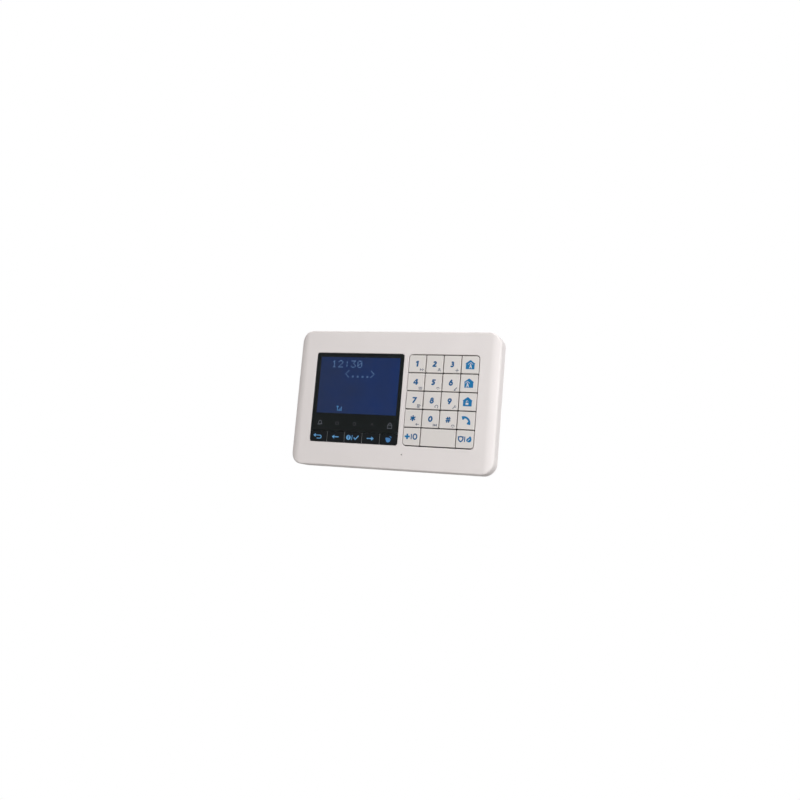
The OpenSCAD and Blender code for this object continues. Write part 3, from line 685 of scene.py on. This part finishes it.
def filled(shape):
    """A thick filled curve of one shape, whose first loop is its outline and the others its holes."""
    curve = bpy.data.curves.new("shape", "CURVE")
    curve.dimensions = "2D"
    curve.fill_mode = "BOTH"
    curve.extrude = INK_THICK / 2
    curve.resolution_u = 6
    for loop in shape:
        smooth = isinstance(loop, tuple)
        points = loop[1] if smooth else loop
        spline = curve.splines.new("BEZIER" if smooth else "POLY")
        if smooth:
            spline.bezier_points.add(len(points) - 1)
            for spot, (u, v) in zip(spline.bezier_points, points):
                spot.co = (u * MM, v * MM, 0)
                spot.handle_left_type = spot.handle_right_type = "AUTO"
        else:
            spline.points.add(len(points) - 1)
            for spot, (u, v) in zip(spline.points, points):
                spot.co = (u * MM, v * MM, 0, 1)
        spline.use_cyclic_u = True
    return curve


def flat_solid(shape):
    """The mesh of one shape's flat solid."""
    curve = filled(shape)
    holder = bpy.data.objects.new("holder", curve)
    bpy.context.scene.collection.objects.link(holder)
    mesh = bpy.data.meshes.new_from_object(holder.evaluated_get(bpy.context.evaluated_depsgraph_get()))
    bpy.data.objects.remove(holder)
    bpy.data.curves.remove(curve)
    bm = bmesh.new()
    bm.from_mesh(mesh)
    bmesh.ops.remove_doubles(bm, verts=bm.verts, dist=1e-7)
    bmesh.ops.recalc_face_normals(bm, faces=bm.faces)
    bm.to_mesh(mesh)
    bm.free()
    return mesh


def artwork(name, shapes, place, body, ink, facing=-1, fused=True):
    """Flat artwork on a surface whose outward side is -Y, or +Y where facing is 1.

    place is the artwork's origin, on the surface. Shapes that may overlap are fused.
    """
    bm = bmesh.new()
    solids = [flat_solid(shape) for shape in shapes]
    while fused and len(solids) > 1:
        solids.append(combined(solids.pop(0), solids.pop(0), "UNION"))
    for mesh in solids:
        bm.from_mesh(mesh)
        bpy.data.meshes.remove(mesh)
    bmesh.ops.dissolve_limit(bm, angle_limit=math.radians(0.1), verts=bm.verts, edges=bm.edges)
    upright = Matrix.Rotation(math.radians(90), 4, "X")
    if facing == 1:
        upright = Matrix.Rotation(math.radians(180), 4, "Z") @ upright
    lift = Vector((0, facing * (INK_THICK / 2 - INK_SUNK), 0))
    bm.transform(Matrix.Translation(Vector(place) + lift) @ upright)
    bmesh.ops.recalc_face_normals(bm, faces=bm.faces)
    mesh = bpy.data.meshes.new(name)
    bm.to_mesh(mesh)
    bm.free()
    mesh.materials.append(INK[ink])
    piece = bpy.data.objects.new(name, mesh)
    bpy.context.scene.collection.objects.link(piece)
    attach(piece, body)
    return piece


# ---- Keypad legends ----

# Widths of lines, and where a function picture sits on its key
DIGIT_LINE = 1.3
FUNCTION_LINE = 0.42
FUNCTION_PLACE = (4.0, -4.5)
BAR_LINE = 0.8
PICTURE_LINE = 0.95


def star():
    """Six rays, as one outline that goes out and back along each."""
    waist, reach, half_ray = 1.0, 2.3, 15
    loop = []
    for i in range(6):
        turn = 90 + 60 * i
        for lean, radius in [(-30, waist), (-half_ray, reach), (half_ray, reach)]:
            angle = math.radians(turn + lean)
            loop.append((radius * math.cos(angle), radius * math.sin(angle)))
    return [[loop]]


def digit(text):
    """A bold geometric digit, 4.5 mm tall and built of arcs and straight lines."""
    line = DIGIT_LINE
    if text == "9":
        return [[[(-u, -v) for u, v in loop] for loop in shape] for shape in digit("6")]
    return {
        "0": [[ellipse(0, 0, 1.8, 2.3), ellipse(0, 0, 0.56, 1.05)]],
        "1": [[[(0.95, 2.25), (0.95, -2.25), (-0.4, -2.25), (-0.4, 0.9), (-1.3, 0.45), (-1.3, 1.65),
                (-0.2, 2.25)]]],
        "2": [ribbon([*arc(0, 0.76, 0.88, 165, -38), (-1.1, -1.6)], line), [rect(0.05, -1.7, 3.2, 1.1)]],
        "3": [ribbon(arc(-0.1, 0.96, 0.72, 150, -90), 1.15),
              ribbon(arc(-0.1, -0.72, 0.96, 90, -155), 1.15), [rect(-0.35, 0.24, 0.7, 0.8)]],
        "4": [[[(0.1, 2.25), (1.3, 2.25), (1.3, -0.3), (1.9, -0.3), (1.9, -1.35), (1.3, -1.35),
                (1.3, -2.25), (0.05, -2.25), (0.05, -1.35), (-1.95, -1.35), (-1.95, -0.5)],
               [(0.05, -0.3), (0.05, 0.8), (-0.75, -0.3)]]],
        "5": [[rect(0.3, 1.7, 2.6, 1.1)], ribbon([(-0.45, 1.9), (-0.7, 0.2)], 1.1),
              ribbon(arc(-0.12, -0.66, 0.96, 125, -155), line)],
        "6": [[disc(0, -0.65, 1.66, 32), disc(0, -0.65, 0.48, 24)],
              ribbon([(-1.0, -0.3), (0.45, 2.25)], 1.35)],
        "7": [[[(-1.7, 2.25), (1.85, 2.25), (1.85, 1.65), (0.0, -2.25), (-1.45, -2.25), (0.2, 1.15),
                (-1.7, 1.15)]]],
        "8": [[disc(0, 1.0, 1.32, 28), disc(0, 1.0, 0.36, 20)],
              [disc(0, -0.7, 1.64, 32), disc(0, -0.7, 0.48, 24)]],
        "#": [ribbon([(-0.85, -2.2), (-0.6, 2.2)], 0.92), ribbon([(0.6, -2.2), (0.85, 2.2)], 0.92),
              ribbon([(-1.9, 0.75), (1.9, 0.75)], 0.88), ribbon([(-1.9, -0.75), (1.9, -0.75)], 0.88)],
        "*": star(),
    }[text]


def slanted(shapes, lean=0.09):
    """Shapes of straight lines that lean to the right."""
    return [[[(u + lean * v, v) for u, v in loop] for loop in shape] for shape in shapes]


def function_picture(key):
    """The small grey function picture at the foot of a digit key."""
    line = FUNCTION_LINE
    return {
        "key_1": [ribbon([(-1.3, 0), (0.2, 0)], line), ribbon([(-1.3, -1), (-1.3, 1)], line),
                  ribbon([(0.2, -0.8), (1.2, 0), (0.2, 0.8)], line)],
        "key_2": [band(disc(0, 0.7, 0.5), line), ribbon(arc(0, -1.2, 1.1, 10, 170), line)],
        "key_3": [ribbon([(0, -1.3), (0, 1.3)], line), ribbon([(-1.2, 0), (-0.3, 0)], line),
                  ribbon([(0.3, 0), (1.2, 0)], line)],
        "key_4": [band(rect(-0.75, 0, 1.0, 1.0), 0.3), band(rect(0.75, 0, 1.0, 1.0), 0.3),
                  ribbon([(-1.25, -1.2), (1.25, -1.2)], 0.3)],
        "key_5": [ribbon(arc(0, -0.6, 1.3, 20, 160), line), ribbon([(-0.5, -0.6), (0.5, -0.6)], line)],
        "key_6": [ribbon([(-1.1, -1.1), (0.9, 0.9)], 0.55), ribbon([(-1.3, -1.3), (0.1, -1.3)], line)],
        "key_7": [band(rect(-0.5, 0, 1.5, 2.1), line), ribbon([(0.7, 0.9), (1.4, 0.2)], line),
                  ribbon([(-0.8, 0.3), (-0.1, 0.3)], line), ribbon([(-0.8, -0.4), (-0.1, -0.4)], line)],
        "key_8": [ribbon(arc(0, 0, 1.15, -60, 200), line), ribbon([(-1.6, -0.1), (-0.7, -0.7)], line)],
        "key_9": [ribbon([(-1.3, -1.1), (0.3, 0.4)], 0.45), ribbon(arc(0.75, 0.75, 0.6, 80, 370), line)],
        "key_star": [ribbon([(-1.2, 0), (1.2, 0)], line),
                     ribbon([(-0.4, 0.8), (-1.3, 0), (-0.4, -0.8)], line)],
        "key_0": [ribbon([(-1.4, -1), (-1.4, 1)], line), [[(0.1, -1), (0.1, 1), (-1.1, 0)]],
                  [[(1.4, -1), (1.4, 1), (0.2, 0)]]],
        "key_hash": [ribbon(arc(0, -0.5, 1.2, 0, 180), line), ribbon([(-0.6, -0.9), (0.6, -0.9)], line)],
    }[key]


def house(*holes):
    """A solid house with a gabled roof, cut through by the holes."""
    outline = [(-3.4, -3.4), (3.4, -3.4), (3.4, 0.5), (3.8, 0.9), (0.3, 3.5), (-0.3, 3.5), (-3.8, 0.9),
               (-3.4, 0.5)]
    return [[outline, *holes]]


def doorway(u, v):
    """A thin gable and the person walking out below it, as holes."""
    gable = ribbon([(u - 1.9, v + 0.8), (u, v + 2.4), (u + 1.9, v + 0.8)], 0.3)[0]
    body = soft([(u - 0.35, v + 0.3), (u + 0.35, v + 0.3), (u + 0.85, v - 0.6), (u + 0.7, v - 2.2),
                 (u + 0.05, v - 1.0), (u - 0.85, v - 2.2), (u - 0.5, v - 0.6)])
    return [gable, disc(u, v + 0.95, 0.45, 16), body]


def padlock(u, v, open_by):
    """A padlock as holes: its body, and its shackle, whose one end stands clear by open_by."""
    shackle = ribbon(
        [(u - 0.65, v), *arc(u, v + 0.75, 0.65, 180, 0), (u + 0.65, v + open_by)], 0.35
    )[0]
    return [rect(u, v - 0.95, 2.1, 1.5), shackle]


def handset():
    """A telephone handset that curves from the upper left to the lower right."""
    spine = arc(-2.0, -2.2, 4.7, 108, -12, 30)
    last = len(spine) - 1

    def inner_side(i):
        """Slim along the grip, and thick at both ends."""
        end = min(i, last - i) / last
        return -0.75 if end > 0.26 else -1.95 if end < 0.2 else -1.4

    left = offset_path(spine, lambda i: 0.75, False)
    right = offset_path(spine, inner_side, False)
    return [[left + right[::-1]]]


def cross(u, v, reach, width):
    """A plus sign with arms of that reach and width."""
    a, b = reach, width / 2
    corners = [(b, b), (b, a), (-b, a), (-b, b), (-a, b), (-a, -b), (-b, -b), (-b, -a), (b, -a), (b, -b),
               (a, -b), (a, b)]
    return [[[(u + x, v + z) for x, z in corners]]]


def shield(u, v, w, h):
    """The outline of a shield."""
    return [
        (u - w / 2, v + h * 0.42), (u - w * 0.2, v + h * 0.44), (u, v + h / 2), (u + w * 0.2, v + h * 0.44),
        (u + w / 2, v + h * 0.42), (u + w / 2, v - h * 0.05), (u + w * 0.3, v - h * 0.34), (u, v - h / 2),
        (u - w * 0.3, v - h * 0.34), (u - w / 2, v - h * 0.05),
    ]


def flame(u, v):
    """A flame with a slit in it."""
    outer = soft([(u - 0.2, v - 2.1), (u - 1.9, v - 1.1), (u - 1.5, v + 0.5), (u - 0.1, v + 1.4),
                  (u + 0.7, v + 2.4), (u + 1.8, v + 1.0), (u + 1.9, v - 0.8), (u + 1.1, v - 1.9)])
    inner = ribbon([(u - 0.7, v - 1.3), (u - 0.3, v - 0.4), (u + 0.7, v + 0.5)], 0.4)[0]
    return [[outer, inner]]


BAR = ribbon([(0, -2.0), (0, 2.0)], BAR_LINE)
KEY_ARTWORK = {
    "key_arm_away": house(*doorway(0.2, -0.6)),
    "key_arm_home": house(*doorway(-1.1, -0.9)),
    "key_disarm": house(*padlock(-0.3, -0.6, open_by=0.9)),
    "key_phone": handset(),
    "key_emergency": cross(-3.3, 0, 2.05, 1.4),
    "key_fire": flame(3.2, 0),
}
LINE_ARTWORK = {
    "key_emergency": [BAR, band(ellipse(2.9, 0.1, 1.45, 1.95, 24), PICTURE_LINE)],
    "key_fire": [BAR, band(shield(-3.1, 0, 3.4, 3.8), PICTURE_LINE)],
}

for key, text in DIGIT_KEYS.items():
    artwork(key + "_digit", slanted(digit(text)), front_of(key), key, "ink_navy")
    artwork(key + "_function", moved(function_picture(key), *FUNCTION_PLACE), front_of(key), key,
            "ink_grey")
for key in PICTURE_KEYS:
    artwork(key + "_picture", KEY_ARTWORK[key], front_of(key), key, "ink_blue")
    if key in LINE_ARTWORK:
        artwork(key + "_lines", LINE_ARTWORK[key], front_of(key), key, "ink_navy")

# ---- Navigation legends ----


def arrow(side):
    """A straight arrow that points left (-1) or right (1)."""
    return [[[(side * u, v) for u, v in [
        (2.9, 0), (0.9, 1.6), (0.9, 0.45), (-2.9, 0.35), (-2.9, -0.35), (0.9, -0.45), (0.9, -1.6)]]]]


NAV_ARTWORK = {
    "nav_key_back": [ribbon([(-2.6, 0.6), (1.4, 0.6), *arc(1.4, -0.6, 1.2, 90, -90, 10), (-1.2, -1.8)], 0.6),
                     [[(-2.3, 2.1), (-4.3, 0.6), (-2.3, -0.9)]]],
    "nav_key_left": arrow(-1),
    "nav_key_ok": [[disc(-3.6, 0, 1.9), rect(-3.6, -0.35, 0.5, 1.6), disc(-3.6, 1.0, 0.35, 12)],
                   ribbon([(-0.9, -1.9), (-0.4, 1.9)], 0.5),
                   ribbon([(0.9, 0.1), (2.2, -1.3), (4.8, 1.6)], 0.75)],
    "nav_key_right": arrow(1),
    "nav_key_guard": [[soft([(-2.1, 1.1), (-0.6, 1.3), (0.9, 1.1), (1.9, 0.4), (1.6, -1.1), (0.4, -2.2),
                             (-0.9, -2.1), (-1.7, -1.0)])],
                      ribbon(arc(0.6, 0.6, 1.9, 80, 15, 8), 0.45)],
}
for key in NAV_KEYS:
    ink = "nav_glow_dim" if key == "nav_key_guard" else "nav_glow"
    artwork(key + "_legend", NAV_ARTWORK[key], front_of(key), key, ink)

# ---- Arrow on the hatch, the way it slides ----

ARROW_SCALE = 1.3
ARROW_PLACE = Vector((-30 * MM, HATCH_HI.y, (HATCH_LO.z + HATCH_HI.z) / 2))
artwork("battery_hatch_arrow", moved(arrow(1), 0, 0, ARROW_SCALE), ARROW_PLACE, "battery_hatch",
        "ink_grey", facing=1)

# ---- Behind the window: printed mask, status pictures and what the display shows ----

MASK_INSET = 0.1  # of the mask from the edge of the window
BORDER = 1.9  # of the display glass round its lit area
MASK_Y = LENS_HI.y - INK_THICK
LENS_W, LENS_H = (LENS_HI.x - LENS_LO.x) / MM, (LENS_HI.z - LENS_LO.z) / MM
LIT_W = (GLASS_HI.x - GLASS_LO.x) / MM - 2 * BORDER
LIT_H = (GLASS_HI.z - GLASS_LO.z) / MM - 2 * BORDER
LENS_MID, LIT_MID = front_of("display_window"), front_of("display_glass")
LIT_DU, LIT_DV = (LIT_MID.x - LENS_MID.x) / MM, (LIT_MID.z - LENS_MID.z) / MM
artwork(
    "window_mask",
    [[rect(0, 0, LENS_W - 2 * MASK_INSET, LENS_H - 2 * MASK_INSET), rect(LIT_DU, LIT_DV, LIT_W, LIT_H)]],
    (LENS_MID.x, MASK_Y, LENS_MID.z), "unit", "mask_black",
)

STATUS_LINE = 0.42
BELL = [(-1.7, -1.0), (-1.15, -0.4), *arc(0, 0.7, 1.05, 180, 0, 10), (1.15, -0.4), (1.7, -1.0)]
STATUS_ARTWORK = [
    [band(BELL, STATUS_LINE), ribbon([(-0.5, -1.5), (0.5, -1.5)], STATUS_LINE),
     ribbon([(-1.9, -1.9), (-1.2, -1.5)], STATUS_LINE)],
    [band(rect(0, 0, 2.6, 1.8), STATUS_LINE)],
    [band(disc(0, 0, 1.2), STATUS_LINE)],
    [ribbon([(-1.3, -1), (0, 1.2), (1.3, -1)], STATUS_LINE)],
    [band(rect(0, -0.9, 3.4, 2.6), STATUS_LINE), ribbon([(-1.1, 0.3), *arc(0, 0.9, 1.1, 180, 0, 10),
                                                         (1.1, 0.3)], STATUS_LINE)],
]
for i, key in enumerate(NAV_KEYS):
    # The status pictures glow with painted light, standing in for the lamp light that the lens keeps from
    # them
    ink = "mask_grey_painted_glow" if i in (0, len(NAV_KEYS) - 1) else "mask_faint_painted_glow"
    place = (front_of(key).x, MASK_Y - INK_SUNK, front_of("status_lights").z)
    artwork(f"status_picture_{i + 1}", STATUS_ARTWORK[i], place, "unit", ink)

DOT_FONT = {
    "0": "01110 10001 10011 10101 11001 10001 01110",
    "1": "00100 01100 00100 00100 00100 00100 01110",
    "2": "01110 10001 00001 00010 00100 01000 11111",
    "3": "11111 00010 00100 00010 00001 10001 01110",
    ":": "00000 00100 00100 00000 00100 00100 00000",
    "<": "00010 00100 01000 10000 01000 00100 00010",
    ">": "01000 00100 00010 00001 00010 00100 01000",
    ".": "00000 00000 00000 00000 00000 00110 00110",
}


def dot_text(text, pitch):
    """Characters in a 5 by 7 dot matrix, pitch dots apart, from the first one's upper left corner."""
    shapes = []
    for n, letter in enumerate(text):
        rows = DOT_FONT.get(letter, "").split()
        for r, row in enumerate(rows):
            for c, lit in enumerate(row):
                if lit == "1":
                    u = (n * pitch + c + 0.5) * DOT
                    shapes.append([rect(u, -(r + 0.5) * DOT, DOT_SIZE, DOT_SIZE)])
    return shapes


def on_display(du, dv):
    """The place that many mm right of and below the lit area's upper left corner."""
    left, top = LIT_MID.x / MM - LIT_W / 2, LIT_MID.z / MM + LIT_H / 2
    return ((left + du) * MM, GLASS_LO.y, (top - dv) * MM)


# Name, characters, pitch in dots, place and colour
TEXT_LINES = [
    ("clock", "12:30", 6.6, on_display(8.9, 2.2), "lcd_text"),
    ("brackets", "<    >", 5, on_display(21.2, 10.0), "lcd_text"),
    ("entry", " ....", 5, on_display(21.2, 10.0), "lcd_dim"),
]
for name, text, pitch, place, ink in TEXT_LINES:
    artwork(f"display_{name}", dot_text(text, pitch), place, "unit", ink, fused=False)

SIGNAL_LINE = 0.55
SIGNAL = [
    ribbon([(-1.7, -1.9), (-1.7, 1.9)], SIGNAL_LINE),
    ribbon([(-2.5, 1.9), (-1.7, 0.6), (-0.9, 1.9)], SIGNAL_LINE),
    *[[rect(bar - 0.4, 0.55 * bar - 1.35, 0.7, 1.1 * bar + 1.1)] for bar in range(3)],
]
artwork("display_signal", SIGNAL, on_display(18.9, 40.6), "unit", "lcd_symbol")

# ---- Stage: floor, world and lamps ----

FLOOR_Z = -0.3
FLOOR_SIZE = 12.0
ROOM_BRIGHT_SIDE = Vector((0.5, 0, 0.85))
ROOM_DARK, ROOM_BRIGHT, ROOM_MIRRORED = 0.04, 0.68, 0.25
ROOM_TURN = 0.6  # how far towards its bright side the room goes from dark to bright


def mixed(nodes, links, amount, first, second):
    """A mix of two shaders: the second where amount is one."""
    made = nodes.new("ShaderNodeMixShader")
    links.new(amount, made.inputs["Fac"])
    links.new(first.outputs[0], made.inputs[1])
    links.new(second.outputs[0], made.inputs[2])
    return made


def soft_room():
    """A white studio: dimmer in reflections, and as a light brighter on one side than the other."""
    world = bpy.data.worlds.new("soft_room")
    world.use_nodes = True
    nodes, links = world.node_tree.nodes, world.node_tree.links
    nodes.clear()
    path = nodes.new("ShaderNodeLightPath")
    where = nodes.new("ShaderNodeTexCoord")
    towards = nodes.new("ShaderNodeVectorMath")
    towards.operation = "DOT_PRODUCT"
    towards.inputs[1].default_value = ROOM_BRIGHT_SIDE.normalized()
    links.new(where.outputs["Generated"], towards.inputs[0])
    strength = nodes.new("ShaderNodeMapRange")
    strength.inputs["From Min"].default_value = -ROOM_TURN
    strength.inputs["From Max"].default_value = ROOM_TURN
    strength.inputs["To Min"].default_value = ROOM_DARK
    strength.inputs["To Max"].default_value = ROOM_BRIGHT
    links.new(towards.outputs["Value"], strength.inputs["Value"])
    lit = nodes.new("ShaderNodeBackground")
    links.new(strength.outputs["Result"], lit.inputs["Strength"])
    mirrored = nodes.new("ShaderNodeBackground")
    mirrored.inputs["Color"].default_value = (ROOM_MIRRORED, ROOM_MIRRORED, ROOM_MIRRORED, 1)
    seen = nodes.new("ShaderNodeBackground")
    seen.inputs["Color"].default_value = (1, 1, 1, 1)
    shown = mixed(nodes, links, path.outputs["Is Glossy Ray"], lit, mirrored)
    shown = mixed(nodes, links, path.outputs["Is Transmission Ray"], shown, mirrored)
    shown = mixed(nodes, links, path.outputs["Is Camera Ray"], shown, seen)
    links.new(shown.outputs[0], nodes.new("ShaderNodeOutputWorld").inputs["Surface"])
    return world


def pale_floor():
    """A matt floor that the camera sees as the same white as the room."""
    made = bpy.data.materials.new("pale_floor")
    made.use_nodes = True
    nodes, links = made.node_tree.nodes, made.node_tree.links
    nodes.clear()
    path = nodes.new("ShaderNodeLightPath")
    matt = nodes.new("ShaderNodeBsdfDiffuse")
    matt.inputs["Color"].default_value = (0.36, 0.35, 0.34, 1)
    seen = nodes.new("ShaderNodeEmission")
    seen.inputs["Color"].default_value = (1, 1, 1, 1)
    shown = mixed(nodes, links, path.outputs["Is Camera Ray"], matt, seen)
    links.new(shown.outputs[0], nodes.new("ShaderNodeOutputMaterial").inputs["Surface"])
    return made


bpy.context.scene.world = soft_room()

floor_mesh = bpy.data.meshes.new("floor")
half = FLOOR_SIZE / 2
floor_mesh.from_pydata(
    [(-half, -half, FLOOR_Z), (half, -half, FLOOR_Z), (half, half, FLOOR_Z), (-half, half, FLOOR_Z)],
    [], [(0, 1, 2, 3)],
)
floor_mesh.materials.append(pale_floor())
floor = bpy.data.objects.new("floor", floor_mesh)
bpy.context.scene.collection.objects.link(floor)


def soft_lamp(name, direction, distance, size, power, colour=(1, 1, 1), mirrored=True):
    """An area lamp that shines on the panel from that direction, and shows in mirror images or not."""
    lamp = bpy.data.lights.new(name, "AREA")
    lamp.size = size
    lamp.energy = power
    lamp.color = colour
    holder = bpy.data.objects.new(name, lamp)
    away = Vector(direction).normalized()
    holder.location = Vector((0, FACE_Y, 0)) + away * distance
    holder.rotation_mode = "QUATERNION"
    holder.rotation_quaternion = away.to_track_quat("Z", "Y")
    holder.visible_glossy = mirrored
    holder.visible_transmission = mirrored
    bpy.context.scene.collection.objects.link(holder)


# Direction from the panel, distance, size and power
soft_lamp("key_lamp", (1.0, -0.5, 0.3), 0.9, 0.8, 6.2, mirrored=False)
soft_lamp("front_lamp", (0.1, -1.0, 1.05), 1.6, 1.3, 11.2)
soft_lamp("left_lamp", (-0.9, -0.7, 0.3), 1.6, 1.4, 1.5, colour=(1, 0.78, 0.66), mirrored=False)
soft_lamp("back_lamp", (-0.4, 1.0, 0.7), 1.8, 1.4, 12)
soft_lamp("back_fill", (-0.5, 1.0, -0.1), 1.8, 1.2, 9)

# ---- Camera: the view of the photograph ----

CAMERA_AZIMUTH = 21.035
CAMERA_ELEVATION = -7.4
CAMERA_ROLL = 4.9
CAMERA_DISTANCE = 0.6935
CAMERA_LENS = 40.86
CAMERA_AIM = Vector((6.2 * MM, FACE_Y, -0.1 * MM))

camera = bpy.data.objects.new("camera", bpy.data.cameras.new("camera"))
bpy.context.scene.collection.objects.link(camera)
azimuth, elevation = math.radians(CAMERA_AZIMUTH), math.radians(CAMERA_ELEVATION)
back = Vector((
    math.sin(azimuth) * math.cos(elevation),
    -math.cos(azimuth) * math.cos(elevation),
    math.sin(elevation),
))
camera.location = CAMERA_AIM + back * CAMERA_DISTANCE
camera.rotation_mode = "QUATERNION"
camera.rotation_quaternion = (-back).to_track_quat("-Z", "Y") @ Quaternion(
    (0, 0, 1), math.radians(CAMERA_ROLL)
)
camera.data.lens = CAMERA_LENS
camera.data.clip_start, camera.data.clip_end = 0.01, 50
bpy.context.scene.camera = camera
bpy.context.scene.view_settings.view_transform = "Standard"
